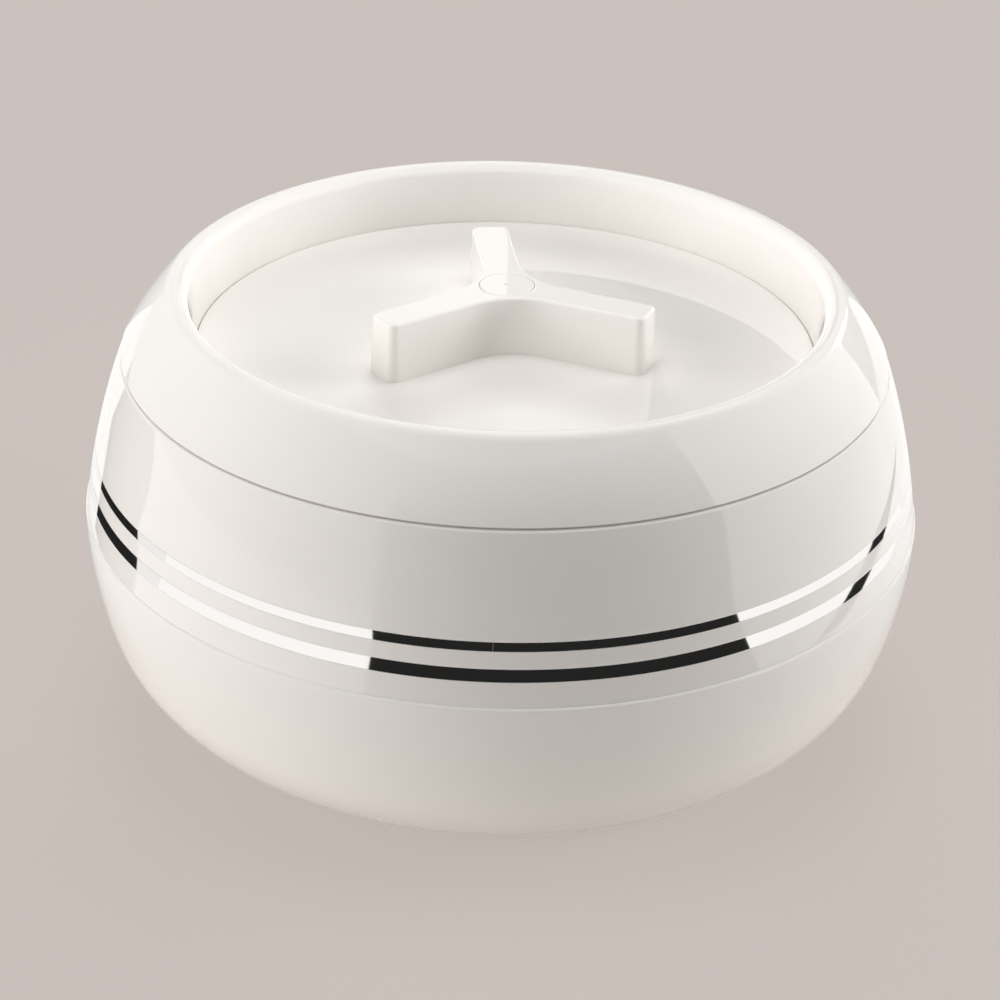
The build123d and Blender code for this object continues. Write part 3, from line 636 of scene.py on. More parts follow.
def shoulder_section(body, bands):
    """The shoulder's arc with a groove for each strip, the mouth's edge, the ledge and the lap."""
    waist, mouth = body.waist_height, body.mouth_height
    lap_inner, lap_bottom = body.lap_radius - body.lap_wall, waist - body.lap_depth
    lap_top, ledge_bottom = waist + body.lap_root, body.ledge_height - body.wall
    groove = bands.thickness - bands.proud + bands.fit
    runs, start = [], waist
    for rise, height in strip_places(bands):
        low, high = waist + rise - bands.fit, waist + rise + height + bands.fit
        runs.append(shoulder_line(body, 0, np.linspace(start, low, 12)))
        runs.append(shoulder_line(body, groove, [low, high]))
        start = high
    runs.append(shoulder_line(body, 0, np.linspace(start, mouth - 2 * body.mouth_rounding, 32)))
    return outline(
        (lap_inner, lap_bottom, body.lap_edge),
        (body.lap_radius, lap_bottom, body.lap_edge),
        (body.lap_radius, waist, 0),
        *runs,
        (body.mouth_radius, mouth, body.mouth_rounding),
        (body.seat_radius, mouth, body.edge),
        (body.seat_radius, body.ledge_height, 0),
        (body.neck_radius, body.ledge_height, 0),
        (body.neck_radius, ledge_bottom, 0),
        shoulder_line(body, body.wall, np.linspace(ledge_bottom, lap_top, 24)),
        (lap_inner, lap_top, 0),
    )


def strip_places(bands):
    """Rise and height of the wide strip, and of the narrow one."""
    return (bands.lower_rise, bands.lower_height), (bands.upper_rise, bands.upper_height)


def strip_section(body, bands, rise, height):
    """A strip's outer face follows the shoulder's arc, a little proud of it, with soft edges."""
    heights = np.linspace(body.waist_height + rise, body.waist_height + rise + height, 11)
    outer = shoulder_line(body, -bands.proud, heights)
    inner = shoulder_line(body, bands.thickness - bands.proud, heights[[-1, 0]])
    ends = np.column_stack([outer[[0, -1]], np.full(2, bands.thickness / 6)])
    return outline(ends[0], outer[1:-1], ends[1], (*inner[0], 0), (*inner[1], 0), steps=4)


def plug_section(hole_radius, base, seat, stem):
    """A flange under the hole and a stem inside it."""
    low, top = seat - base.plug_height, seat + stem
    flange, stem_radius = hole_radius + base.plug_flange, hole_radius - base.plug_fit
    return outline(
        (SMALL_HUB, low, 0),
        (flange, low, base.edge),
        (flange, seat, base.plug_edge),
        (stem_radius, seat, 0),
        (stem_radius, top, base.edge),
        (SMALL_HUB, top, 0),
    )


class CASSEROLE_OT_lower_shell(bpy.types.Operator):
    """Adds the glossy lower shell, from the foot up to the waist line"""

    bl_idname = "casserole.lower_shell"
    bl_label = "Lower Shell"

    def execute(self, context):
        section = lower_shell_section(context.scene.casserole.body)
        add_turned("glossy_lower_shell", section, "base", "shell", "lower_shell", SHELL_RING)
        return {"FINISHED"}


class CASSEROLE_OT_shoulder(bpy.types.Operator):
    """Adds the shoulder between the waist line and the mouth, with its grooves"""

    bl_idname = "casserole.shoulder"
    bl_label = "Shoulder"

    def execute(self, context):
        sizes = context.scene.casserole
        section = shoulder_section(sizes.body, sizes.bands)
        add_turned("glossy_shoulder", section, "base", "shell", "shoulder_shell", SHELL_RING)
        return {"FINISHED"}


class CASSEROLE_OT_strips(bpy.types.Operator):
    """Adds the two mirror strips, each open at its butt joint"""

    bl_idname = "casserole.strips"
    bl_label = "Mirror Strips"

    def execute(self, context):
        sizes = context.scene.casserole
        body, bands = sizes.body, sizes.bands
        wide, narrow = strip_places(bands)
        for name, node, place, joint in (
            ("wide_mirror_strip", "lower_band", wide, bands.lower_joint),
            ("narrow_mirror_strip", "upper_band", narrow, bands.upper_joint),
        ):
            section = strip_section(body, bands, *place)
            half_gap = bands.joint_gap / 2 / section[0, 0]
            ring = carried(section, joint + half_gap, joint + FULL_TURN - half_gap, STRIP_STEPS)
            add_piece(name, [skin(ring, closed=False)], "base", "mirror_strip", node)
        return {"FINISHED"}


class CASSEROLE_OT_base(bpy.types.Operator):
    """Adds the base cover with its foot ring, and the plug in its filling hole"""

    bl_idname = "casserole.base"
    bl_label = "Base Cover"

    def execute(self, context):
        sizes = context.scene.casserole
        foot, base = sizes.body.foot_height, sizes.base
        edge, inner, floor_top = base.edge, base.seat_radius - base.spigot_wall, foot + base.wall
        spigot_top = foot + base.spigot_height
        section = outline(
            (base.hole_radius, foot, edge / 2),
            (base.ring_inner, foot, edge),
            (base.ring_inner, 0, edge),
            (base.ring_outer, 0, edge),
            (base.ring_outer, foot, edge / 2),
            (base.seat_radius, foot, 0),
            (base.seat_radius, spigot_top, edge),
            (inner, spigot_top, edge),
            (inner, floor_top, 0),
            (base.hole_radius, floor_top, 0),
        )
        plug = plug_section(base.hole_radius, base, foot, base.spigot_height)
        kind = "base", "inner_plastic"
        add_turned("satin_base_cover", section, *kind, "base_cover")
        add_turned("base_filling_plug", plug, *kind, "base_foam_plug", PLUG_RING, closed=False)
        return {"FINISHED"}


class CASSEROLE_OT_bowl(bpy.types.Operator):
    """Adds the steel bowl with its rolled rim"""

    bl_idname = "casserole.bowl"
    bl_label = "Steel Bowl"

    def execute(self, context):
        bowl = context.scene.casserole.bowl
        sheet, inner, floor, rim = bowl.sheet, bowl.inner_radius, bowl.floor_height, bowl.rim_height
        lip_inner, lip_end = bowl.lip_outer - sheet, rim - bowl.lip_drop
        section = outline(
            (HUB, floor, 0),
            (inner + sheet, floor, bowl.corner),
            (inner + sheet, rim - sheet, bowl.rim_bend - sheet),
            (lip_inner, rim - sheet, bowl.rim_bend - sheet),
            (lip_inner, lip_end, sheet / 3),
            (bowl.lip_outer, lip_end, sheet / 3),
            (bowl.lip_outer, rim, bowl.rim_bend),
            (inner, rim, bowl.rim_bend),
            (inner, floor + sheet, bowl.corner - sheet),
            (HUB, floor + sheet, 0),
            steps=18,
        )
        add_turned("spun_steel_bowl", section, "base", "steel", "steel_bowl", closed=False)
        return {"FINISHED"}


class CASSEROLE_OT_collar(bpy.types.Operator):
    """Adds the collar that holds the bowl's rim, with its lock tabs and stops"""

    bl_idname = "casserole.collar"
    bl_label = "Rim Collar"

    def execute(self, context):
        sizes = context.scene.casserole
        collar, liner, bowl = sizes.collar, sizes.liner, sizes.bowl
        edge, floor, inner_top = collar.edge, collar.well_floor, bowl.rim_height - bowl.sheet
        section = outline(
            (collar.bore, collar.bottom, edge),
            (collar.outer, collar.bottom, edge),
            (collar.outer, collar.ledge, 0),
            (collar.flange, collar.ledge, 0),
            (collar.flange, collar.top, edge),
            (collar.well_outer, collar.top, edge),
            (collar.well_outer, floor, edge),
            (collar.inner_face, floor, edge),
            (collar.inner_face, inner_top, edge),
            (collar.bore, inner_top, edge),
        )
        tip, wall = collar.tab_tip, (collar.well_outer + collar.outer) / 2
        low, high = collar.tab_bottom, collar.tab_bottom + collar.tab_height
        tab = outline((tip, low, edge), (wall, low, 0), (wall, high, 0), (tip, high, edge), steps=6)
        stop = outline((tip, floor, 0), (wall, floor, 0), (wall, low, 0), (tip, low, 0))
        middle = liner.first_lug - liner.lock_turn
        stop_start = middle - liner.lug_span / 2 - collar.stop_clearance - collar.stop_span
        skins = [skin(turned(section), closed=True)]
        skins += thirds(tab, middle - collar.tab_span / 2, collar.tab_span, 20)
        skins += thirds(stop, stop_start, collar.stop_span, 4)
        add_piece("satin_rim_collar", skins, "base", "inner_plastic", "rim_collar")
        return {"FINISHED"}


# ------------------------------------------------------------------ the lid's sections


def crown_section(lid):
    """A flank arc from the foot, a crest arc, the leaning recess wall, and back a wall inside.

    The flank's circle passes through the foot and touches the crest's circle from outside it, so
    its centre is flank from the foot and flank - crest from the crest's centre.
    """
    lean, crest, flank = lid.recess_draft, lid.crest_curve, lid.flank_curve
    crest_height = lid.top - crest
    rise = crest_height + crest * math.sin(lean) - lid.panel_top
    crest_radius = lid.recess_radius + rise * math.tan(lean) + crest * math.cos(lean)
    top_centre = np.array([crest_radius, crest_height])
    foot = np.array([lid.foot_radius, lid.foot_height])
    run = top_centre - foot
    reach = np.linalg.norm(run)
    along = (flank**2 - (flank - crest) ** 2 + reach**2) / (2 * reach)
    across = math.sqrt(flank**2 - along**2)
    side_centre = foot + (along * run + across * np.array([-run[1], run[0]])) / reach
    meet, begin = (math.atan2(*(end - side_centre)[::-1]) for end in (top_centre, foot))
    above_foot = begin + 2 * lid.foot_edge / flank
    rebate_rise = lid.rebate_top - side_centre[1]
    inner_foot = math.asin(rebate_rise / (flank - lid.wall))
    inner_radius = side_centre[0] + (flank - lid.wall) * math.cos(inner_foot)
    rebate = side_centre[0] + math.sqrt(flank**2 - rebate_rise**2) - lid.rebate_wall
    panel_bottom = lid.panel_top - lid.panel_thickness
    ledge_radius = lid.recess_radius - lid.ledge_width
    ledge_bottom = panel_bottom - lid.ledge_height
    return outline(
        (rebate, lid.foot_height, 0),
        (*foot, lid.foot_edge),
        arc(side_centre, flank, above_foot, meet, 56),
        arc(top_centre, crest, meet, math.pi - lean, 44)[1:],
        (lid.recess_radius, lid.panel_top, 0),
        (lid.recess_radius, panel_bottom, 0),
        (ledge_radius, panel_bottom, 0),
        (ledge_radius, ledge_bottom, 0),
        (lid.hidden_radius, ledge_bottom, 0),
        (lid.hidden_radius, lid.panel_top, 0),
        arc(top_centre, crest - lid.wall, math.pi - lean, meet, 16),
        arc(side_centre, flank - lid.wall, meet, inner_foot, 16)[1:-1],
        (inner_radius, lid.rebate_top, 0),
        (rebate, lid.rebate_top, 0),
    )


class CASSEROLE_OT_crown(bpy.types.Operator):
    """Adds the lid's fat rounded ring with the recess"""

    bl_idname = "casserole.crown"
    bl_label = "Lid Crown"

    def execute(self, context):
        section = crown_section(context.scene.casserole.lid)
        add_turned("glossy_lid_crown", section, "lid", "shell", "lid_crown", SHELL_RING)
        return {"FINISHED"}


class CASSEROLE_OT_disc(bpy.types.Operator):
    """Adds the flat disc in the lid's recess"""

    bl_idname = "casserole.disc"
    bl_label = "Lid Disc"

    def execute(self, context):
        lid = context.scene.casserole.lid
        low, high, side = lid.panel_top - lid.panel_thickness, lid.panel_top, lid.panel_radius
        disc = outline((HUB, low, 0), (side, low, 0), (side, high, lid.panel_edge), (HUB, high, 0))
        add_turned("glossy_lid_disc", disc, "lid", "shell", "lid_panel", SHELL_RING, closed=False)
        return {"FINISHED"}


def arm_outline(knob):
    """Outline of the three arms at the foot, and the outward direction at each point.

    One arm runs up its right side, round two corner arcs to its left side, and through a hollow arc
    to the next arm. The hollow's centre is (half width + blend) / sin 60 from the axis, half way
    between two arms. The arm is then repeated at every third of a turn.
    """
    spread = knob.height * math.tan(knob.draft)
    half, reach = knob.arm_width / 2 + spread, knob.arm_length + spread
    hollow, corner = (half + knob.blend) / math.tan(math.pi / 3), reach - knob.tip
    share = np.array([0.004, 0.1, 0.3, 0.5, 0.7, 0.9, 0.996])  # of the way along a flat side
    side, end = hollow + (corner - hollow) * share, (half - knob.tip) * (2 * share - 1)
    quarter, level = math.pi / 2, np.ones_like(share)
    right, left = unit(np.linspace(-quarter, 0, 13)), unit(np.linspace(0, quarter, 13))
    bend = unit(np.linspace(-quarter, -quarter - math.pi / 3, 41))
    runs = (  # points, and the direction out of them
        (np.column_stack([side, -half * level]), (0, -1)),
        ((corner, knob.tip - half) + knob.tip * right, right),
        (np.column_stack([reach * level, end]), (1, 0)),
        ((corner, half - knob.tip) + knob.tip * left, left),
        (np.column_stack([side[::-1], half * level]), (0, 1)),
        ((hollow, half + knob.blend) + knob.blend * bend, -bend),
    )
    arm = np.concatenate([np.stack(np.broadcast_arrays(*run), axis=1) for run in runs])
    arms = knob.first_arm + np.arange(3) * FULL_TURN / 3
    turns = np.stack([unit(arms), unit(arms + quarter)], axis=-1)
    points_and_outwards = np.einsum("aij,nkj->kani", turns, arm)
    return points_and_outwards.reshape(2, -1, 2)


def knob_grid(knob, foot):
    """The arms' outline, moved inwards by height * tan(draft), then round the top edge, then
    blended along straight lines into the circle of the cap's seat and down into it."""
    points, outwards = arm_outline(knob)
    lean, edge, top, soft = knob.draft, knob.edge, foot + knob.height, knob.seat_edge
    centre_in = (knob.height - edge) * math.tan(lean) + edge / math.cos(lean)
    turn = np.linspace(lean, math.pi / 2, 11)
    start_up = knob.height - edge + edge * math.sin(lean)
    side_up = start_up * np.array([0, 0.01, 0.25, 0.5, 0.75, 0.99])
    round_in, last_in = centre_in - edge * np.cos(turn), centre_in + edge / 6
    inwards = np.concatenate([side_up * math.tan(lean), round_in, [last_in]])
    arms = points - inwards[:, None, None] * outwards
    directions = scaled(points)
    seat, bend = knob.cap_radius + knob.cap_fit, np.linspace(math.pi / 2, math.pi, 5)
    rings = np.concatenate([seat + soft + soft * np.cos(bend), [seat, seat * 0.98, seat * 0.5]])
    share = np.array([0.2, 0.4, 0.6, 0.8, 0.97])[:, None, None]
    flat = arms[-1] + share * (directions * rings[0] - arms[-1])
    plan = np.concatenate([arms, flat, rings[:, None, None] * directions])
    heights = [foot + side_up, top - edge + edge * np.sin(turn), np.full(1 + len(share), top)]
    heights += [top - soft + soft * np.sin(bend), np.full(3, top - knob.cap_thickness)]
    heights = np.concatenate(heights)[:, None, None]
    return np.concatenate([plan, np.broadcast_to(heights, (*plan.shape[:2], 1))], axis=-1)


class CASSEROLE_OT_knob(bpy.types.Operator):
    """Adds the three-armed knob and the cap in its top"""

    bl_idname = "casserole.knob"
    bl_label = "Knob"

    def execute(self, context):
        sizes = context.scene.casserole
        knob, foot = sizes.knob, sizes.lid.panel_top
        grid = skin(knob_grid(knob, foot), closed=False)
        add_piece("glossy_knob", [grid], "lid", "shell", "knob")
        top, gate, soft = foot + knob.height, knob.gate_radius, knob.gate_edge
        cap_bottom, gate_floor = top - knob.cap_thickness, top - knob.gate_depth
        section = outline(
            (SMALL_HUB, cap_bottom, 0),
            (knob.cap_radius, cap_bottom, 0),
            (knob.cap_radius, top, knob.cap_edge),
            (gate, top, soft),
            (gate * 0.9, gate_floor, soft),
            (gate * 0.2, gate_floor, 0),
            steps=6,
        )
        add_turned("glossy_knob_cap", section, "lid", "shell", "knob_cap", CAP_RING, closed=False)
        return {"FINISHED"}


class CASSEROLE_OT_liner(bpy.types.Operator):
    """Adds the lid's inner side with its skirt and lock lugs, and the plug in its filling hole"""

    bl_idname = "casserole.liner"
    bl_label = "Lid Liner"

    def execute(self, context):
        sizes = context.scene.casserole
        lid, liner, edge = sizes.lid, sizes.liner, sizes.liner.edge
        bead_low, bead_high = liner.bead_top - liner.bead_height, liner.bead_top
        plug, bead, floor = liner.plug_outer, liner.bead_reach, liner.bottom + liner.wall
        skirt, roof = liner.skirt_inner, liner.groove_roof
        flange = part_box("lid_liner")[1].x
        section = outline(
            (liner.hole_radius, liner.bottom, edge / 2),
            (plug, liner.bottom, liner.plug_corner),
            (plug, bead_low, 0),
            (plug + bead, bead_low, edge),
            (plug + bead, bead_high, edge),
            (plug, bead_high, 0),
            (plug, roof, 0),
            (skirt, roof, 0),
            (skirt, bead_high, 0),
            (skirt - bead, bead_high, edge),
            (skirt - bead, bead_low, edge),
            (skirt, bead_low, 0),
            (skirt, liner.skirt_bottom, edge),
            (liner.skirt_outer, liner.skirt_bottom, edge),
            (liner.skirt_outer, lid.foot_height, edge / 2),
            (flange, lid.foot_height, 0),
            (flange, lid.rebate_top, 0),
            (skirt, lid.rebate_top, 0),
            (skirt, roof + liner.wall, 0),
            (plug - liner.wall, roof + liner.wall, 0),
            (plug - liner.wall, floor, 0),
            (liner.hole_radius, floor, 0),
        )
        root, tip = (skirt + liner.skirt_outer) / 2, liner.lug_tip
        low, high = liner.skirt_bottom, liner.skirt_bottom + liner.lug_height
        lug = outline((root, low, 0), (tip, low, edge), (tip, high, edge), (root, high, 0), steps=6)
        skins = [skin(turned(section), closed=True)]
        skins += thirds(lug, liner.first_lug - liner.lug_span / 2, liner.lug_span, 18)
        kind = "lid", "inner_plastic"
        add_piece("satin_lid_liner", skins, *kind, "lid_liner")
        stem = plug_section(liner.hole_radius, sizes.base, liner.bottom, liner.wall)
        add_turned("lid_filling_plug", stem, *kind, "lid_foam_plug", PLUG_RING, closed=False)
        return {"FINISHED"}


class CASSEROLE_OT_kept_nodes(bpy.types.Operator):
    """Gives the seal, the screw, the washer and the insulation their materials"""

    bl_idname = "casserole.kept_nodes"
    bl_label = "Seal, Screw and Insulation"

    def execute(self, context):
        dress("seal", "lid_seal")
        dress("screw_steel", "knob_screw", "knob_washer")
        dress("foam", "body_foam", "lid_foam_disc", "crown_foam_ring")
        return {"FINISHED"}


# ------------------------------------------------------------------ studio

MIDDLE = (0, 0, 0.09)  # what most lamps aim at
AMBIENT = 0.04  # strength of the even light from all sides
FOCAL_LENGTH, SENSOR_WIDTH = 88.6, 36.0  # in millimetres
CAMERA_PLACE, CAMERA_AIM = (0, -0.65977, 0.41953), (-0.0003, 0, 0.0576)  # in metres
CAMERA_TILT = 1.574  # in degrees
# direction from the front and elevation in degrees, distance, width, height, irradiance / pi, and
# the aim where it isn't the middle
LAMPS = {
    "left_softbox": (-86, 12, 3.0, 1.9, 1.3, 0.51),
    "left_front_softbox": (-43, 18, 3.0, 1.9, 1.3, 0.31),
    "right_softbox": (98, 14, 3.0, 1.9, 1.3, 0.78),
    "back_softbox": (180, 27, 3.0, 1.9, 1.3, 0.48),
    "top_softbox": (0, 89, 0.90, 0.60, 0.60, 0.50),
    "recess_softbox": (0, 48, 0.15, 0.14, 0.05, 0.08, (0, 0.095, 0.122)),
    "floor_softbox": (0, 89, 0.10, 0.22, 0.08, 0.09, (0, -0.20, 0)),
}
# radius, directions, elevations, and the strengths with the heights between which they change
DOME = {
    "left_screen": (1.3, -146, -30, 0, 48, 0.75, 0.9, 0.2, 0.8),
    "left_back_screen": (1.3, -180, -146, 0, 48, 0.55, 0.95, 0.05, 0.5),
    "front_flag": (1.3, -30, 60, 0, 48, 0.02, 1.1, 0.62, 0.97),
    "right_screen": (1.3, 60, 130, 0, 48, 1.4, 1.9, 0.1, 0.8),
    "right_back_screen": (1.3, 130, 168, 0, 48, 0.35, 1.0, 0.1, 0.9),
    "right_back_window": (1.25, 129, 147, 13, 28, 2.4, 2.4, 0, 1),
    "back_flag": (1.3, 168, 180, 0, 31.5, 0.72, 0.05, 0.25, 0.4),
    "back_high_flag": (1.3, 168, 174.3, 31.5, 48, 0.1, 0.1, 0, 1),
    "back_screen": (1.3, 174.3, 180, 31.5, 48, 1.2, 1.2, 0, 1),
    "back_window": (1.25, 171, 180, 19.5, 22.5, 1.8, 1.8, 0, 1),
    "ceiling_screen": (1.3, -180, 180, 48, 89.9, 1.65, 1.65, 0, 1),
}
# height, radii, directions at the inner and the outer radius, and the strengths with the radii
# between which they change
SHEETS = {
    "pale_sheet": (0.0004, 0.15, 1.29, (-180, 180), (-180, 180), 0.6, 1.03, 0.15, 0.24),
    "left_white_sheet": (0.0008, 0.25, 1.28, (-80, -27), (-107, -31), 1.15, 1.15, 0, 1),
    "right_white_sheet": (0.0008, 0.25, 1.28, (55, 115), (60, 130), 1.15, 1.15, 0, 1),
    "front_black_sheet": (0.0012, 0.265, 1.28, (-26.5, 55.8), (-32, 60), 0.02, 0.02, 0, 1),
    "left_black_sheet": (0.0012, 0.21, 0.36, (-110, -84), (-125, -95.7), 0.02, 0.02, 0, 1),
    "left_far_black_sheet": (0.0012, 0.36, 1.28, (-125, -95.7), (-135, -112), 0.02, 0.02, 0, 1),
    "right_black_sheet": (0.0012, 0.26, 0.34, (70, 81), (103, 127), 0.02, 0.02, 0, 1),
    "back_grey_sheet": (0.0012, 0.26, 1.28, (150, 215), (150, 215), 0.5, 0.5, 0, 1),
}


def softly_lit_paper(colours):
    """Material of the floor."""
    # Matt white paper that throws the lamps' light back up. It is seen as one even pale grey up to
    # the horizon. Up to 0.2 m from the middle 22 % of the lit paper is left in it, and with that
    # the casserole's shadow, and from 0.8 m on nothing.
    material, tree = new_material("softly_lit_paper")
    place = add_node(tree, "ShaderNodeTexCoord").outputs["Object"]
    span = {"Value": length_along(tree, place, (1.0, 1.0, 1.0))}
    span.update({"From Min": 0.2, "From Max": 0.8, "To Min": 0.78, "To Max": 1.0})
    even = add_node(tree, "ShaderNodeMapRange", span, interpolation_type="SMOOTHSTEP")
    direct = seen_directly(tree)
    seen = {0: direct, 1: even.outputs["Result"]}
    seen = add_node(tree, "ShaderNodeMath", seen, operation="MULTIPLY")
    shade = {0: direct, 6: tuple(colours.paper), 7: tuple(colours.floor)}
    shade = add_node(tree, "ShaderNodeMix", shade, data_type="RGBA")
    paper = add_node(tree, "ShaderNodeBsdfDiffuse", {"Color": shade.outputs[2]})
    glow = add_node(tree, "ShaderNodeEmission", {"Color": tuple(colours.floor), "Strength": 1.0})
    both = {"Fac": seen.outputs["Value"], 1: paper.outputs["BSDF"], 2: glow.outputs["Emission"]}
    both = add_node(tree, "ShaderNodeMixShader", both)
    add_node(tree, "ShaderNodeOutputMaterial", {"Surface": both.outputs["Shader"]})
    return material


def seen_directly(tree):
    """One for the camera's rays and for mirrored and transmitted ones, and zero for the rest."""
    rays = add_node(tree, "ShaderNodeLightPath").outputs
    pair = {0: rays["Is Glossy Ray"], 1: rays["Is Transmission Ray"]}
    pair = {1: add_node(tree, "ShaderNodeMath", pair, operation="MAXIMUM").outputs["Value"]}
    pair[0] = rays["Is Camera Ray"]
    return add_node(tree, "ShaderNodeMath", pair, operation="MAXIMUM").outputs["Value"]


def lit_cloth(name, along, level, far_level, start, end):
    """Material of a screen: its strength goes from level to far_level while the length of
    (place * along) goes from start to end."""
    material, tree = new_material(name)
    strength = level
    if far_level != level:
        place = add_node(tree, "ShaderNodeTexCoord").outputs["Object"]
        span = {"Value": length_along(tree, place, along), "From Min": start, "From Max": end}
        span.update({"To Min": level, "To Max": far_level})
        strength = add_node(tree, "ShaderNodeMapRange", span, interpolation_type="SMOOTHSTEP")
        strength = strength.outputs["Result"]
    glow = add_node(tree, "ShaderNodeEmission", {"Strength": strength})
    add_node(tree, "ShaderNodeOutputMaterial", {"Surface": glow.outputs["Emission"]})
    material.cycles.emission_sampling = "NONE"
    return material


def dome_part(radius, start, end, low, high):
    """Part of a sphere, between two directions from the front and two elevations, in degrees."""
    turn = np.radians(np.linspace(start, end, CLOTH_COLUMNS) + FRONT)
    rise = np.radians(np.linspace(low, high, DOME_ROWS))[:, None]
    return revolved(radius * np.cos(rise), radius * np.sin(rise), turn)


def ring_part(height, inner, outer, near_edge, far_edge):
    """Part of a flat ring. Its ends go in a straight sweep from the directions near_edge at the
    inner radius to far_edge at the outer one, in degrees from the front."""
    share = np.linspace(0, 1, SHEET_ROWS)[:, None]
    near_edge, far_edge = np.array([near_edge, far_edge])
    start, end = np.split(np.radians(near_edge + share * (far_edge - near_edge) + FRONT), 2, axis=1)
    turn = start + (end - start) * np.linspace(0, 1, CLOTH_COLUMNS)
    return revolved(inner + (outer - inner) * share, height, turn)


def add_sheet(name, grid, material):
    """A sheet of the studio, with faces between the points of its grid."""
    number = np.arange(grid.shape[0] * grid.shape[1]).reshape(grid.shape[:2])
    faces = np.stack([number[:-1, :-1], number[:-1, 1:], number[1:, 1:], number[1:, :-1]], axis=-1)
    mesh = bpy.data.meshes.new(name)
    mesh.from_pydata(grid.reshape(-1, 3).tolist(), [], faces.reshape(-1, 4).tolist())
    mesh.materials.append(material)
    sheet = bpy.data.objects.new(name, mesh)
    bpy.context.scene.collection.objects.link(sheet)
    return sheet


def add_screen(name, grid, *light):
    """A sheet of lit cloth that mirrored rays alone meet. The black one in front also keeps the
    paper's light off the casserole."""
    screen = add_sheet(name, grid, lit_cloth(name, *light))
    screen.visible_camera = screen.visible_shadow = False
    screen.visible_transmission = screen.visible_volume_scatter = False
    screen.visible_diffuse = name == "front_black_sheet"


def add_lamp(name, direction, elevation, distance, width, height, level, aim=MIDDLE):
    """A softbox that faces its aim. Its power is level * (pi * distance) squared."""
    turn, rise = math.radians(direction), math.radians(elevation)
    level_part = math.cos(rise)
    out = Vector((math.sin(turn) * level_part, -math.cos(turn) * level_part, math.sin(rise)))
    lamp = bpy.data.lights.new(name, "AREA")
    lamp.shape, lamp.size, lamp.size_y = "RECTANGLE", width, height
    lamp.energy = level * (math.pi * distance) ** 2
    softbox = bpy.data.objects.new(name, lamp)
    softbox.location = Vector(aim) + out * distance
    softbox.rotation_euler = (-out).to_track_quat("-Z", "Y").to_euler()
    softbox.visible_camera = softbox.visible_glossy = False
    bpy.context.scene.collection.objects.link(softbox)


def add_world(scene, colours):
    """A weak white light from all sides, seen as the floor's own grey."""
    scene.world = bpy.data.worlds.new("studio")
    scene.world.use_nodes = True
    tree = scene.world.node_tree
    tree.nodes.clear()
    light = {"Color": (1.0, 1.0, 1.0, 1.0), "Strength": AMBIENT}
    wall = {"Color": tuple(colours.floor), "Strength": 1.0}
    light, wall = (
        add_node(tree, "ShaderNodeBackground", inputs).outputs["Background"]
        for inputs in (light, wall)
    )
    both = add_node(tree, "ShaderNodeMixShader", {"Fac": seen_directly(tree), 1: light, 2: wall})
    add_node(tree, "ShaderNodeOutputWorld", {"Surface": both.outputs["Shader"]})


def add_camera(scene):
    """A long lens, looking down at the casserole from the front and tilted a little."""
    lens = bpy.data.cameras.new("camera")
    lens.lens, lens.sensor_width = FOCAL_LENGTH, SENSOR_WIDTH
    view = (Vector(CAMERA_AIM) - Vector(CAMERA_PLACE)).normalized()
    right = view.cross(Vector((0, 0, 1))).normalized()
    up = right.cross(view)
    tilt = math.radians(CAMERA_TILT)
    side = right * math.cos(tilt) + up * math.sin(tilt)
    rise = up * math.cos(tilt) - right * math.sin(tilt)
    camera = bpy.data.objects.new("camera", lens)
    turned_lens = Matrix((side, rise, -view)).transposed().to_4x4()
    camera.matrix_world = Matrix.Translation(CAMERA_PLACE) @ turned_lens
    scene.collection.objects.link(camera)
    scene.camera = camera


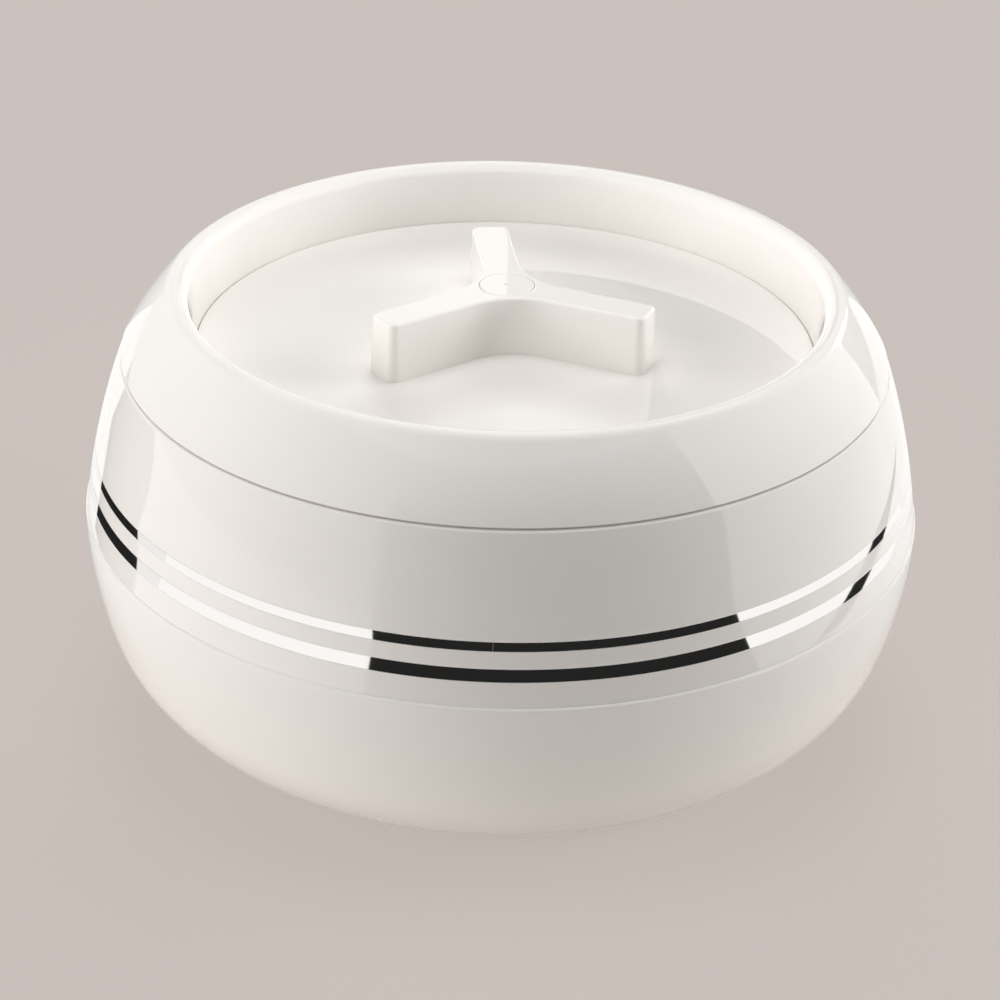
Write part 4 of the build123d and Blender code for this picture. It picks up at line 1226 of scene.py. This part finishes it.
class CASSEROLE_OT_stage(bpy.types.Operator):
    """Adds the pale floor, the soft lamps, the screens that the gloss mirrors, and the camera"""

    bl_idname = "casserole.stage"
    bl_label = "Stage"

    def execute(self, context):
        scene, colours = context.scene, context.scene.casserole.colours
        reach = np.array([-FLOOR_REACH, FLOOR_REACH])
        floor = np.stack([*np.meshgrid(reach, reach), np.zeros((2, 2))], axis=-1)
        add_sheet("floor", floor, softly_lit_paper(colours))
        add_world(scene, colours)
        for name, place in LAMPS.items():
            add_lamp(name, *place)
        # upright cloth changes with the height, and sheets with the distance from the axis
        for name, part in DOME.items():
            add_screen(name, dome_part(*part[:5]), (0, 0, 1), *part[5:])
        for name, part in SHEETS.items():
            add_screen(name, ring_part(*part[:5]), (1, 1, 0), *part[5:])
        add_camera(scene)
        scene.view_settings.view_transform = "Standard"
        return {"FINISHED"}


class CASSEROLE_PT_panel(bpy.types.Panel):
    """Lists the steps that build the casserole, with their sizes"""

    bl_idname = "CASSEROLE_PT_panel"
    bl_label = "Insulated Casserole"
    bl_space_type = "VIEW_3D"
    bl_region_type = "UI"
    bl_category = "Casserole"

    def draw(self, context):
        for step in STEPS:
            self.layout.operator(step.bl_idname)
        for group in CASSEROLE_PG_sizes.__annotations__:
            box = self.layout.box()
            box.label(text=group.capitalize())
            settings = getattr(context.scene.casserole, group)
            for name in settings.__annotations__:
                box.prop(settings, name)


GROUPS = (
    CASSEROLE_PG_body,
    CASSEROLE_PG_bands,
    CASSEROLE_PG_base,
    CASSEROLE_PG_bowl,
    CASSEROLE_PG_collar,
    CASSEROLE_PG_lid,
    CASSEROLE_PG_liner,
    CASSEROLE_PG_knob,
    CASSEROLE_PG_colours,
    CASSEROLE_PG_sizes,
)
STEPS = (
    CASSEROLE_OT_lower_shell,
    CASSEROLE_OT_shoulder,
    CASSEROLE_OT_strips,
    CASSEROLE_OT_base,
    CASSEROLE_OT_bowl,
    CASSEROLE_OT_collar,
    CASSEROLE_OT_crown,
    CASSEROLE_OT_disc,
    CASSEROLE_OT_knob,
    CASSEROLE_OT_liner,
    CASSEROLE_OT_kept_nodes,
    CASSEROLE_OT_stage,
)


def register():
    for kind in (*GROUPS, *STEPS, CASSEROLE_PT_panel):
        bpy.utils.register_class(kind)
    bpy.types.Scene.casserole = bpy.props.PointerProperty(type=CASSEROLE_PG_sizes)


def unregister():
    del bpy.types.Scene.casserole
    for kind in reversed((*GROUPS, *STEPS, CASSEROLE_PT_panel)):
        bpy.utils.unregister_class(kind)


def main():
    register()
    for step in STEPS:
        group, name = step.bl_idname.split(".")
        getattr(getattr(bpy.ops, group), name)()


if __name__ == "__main__":
    main()
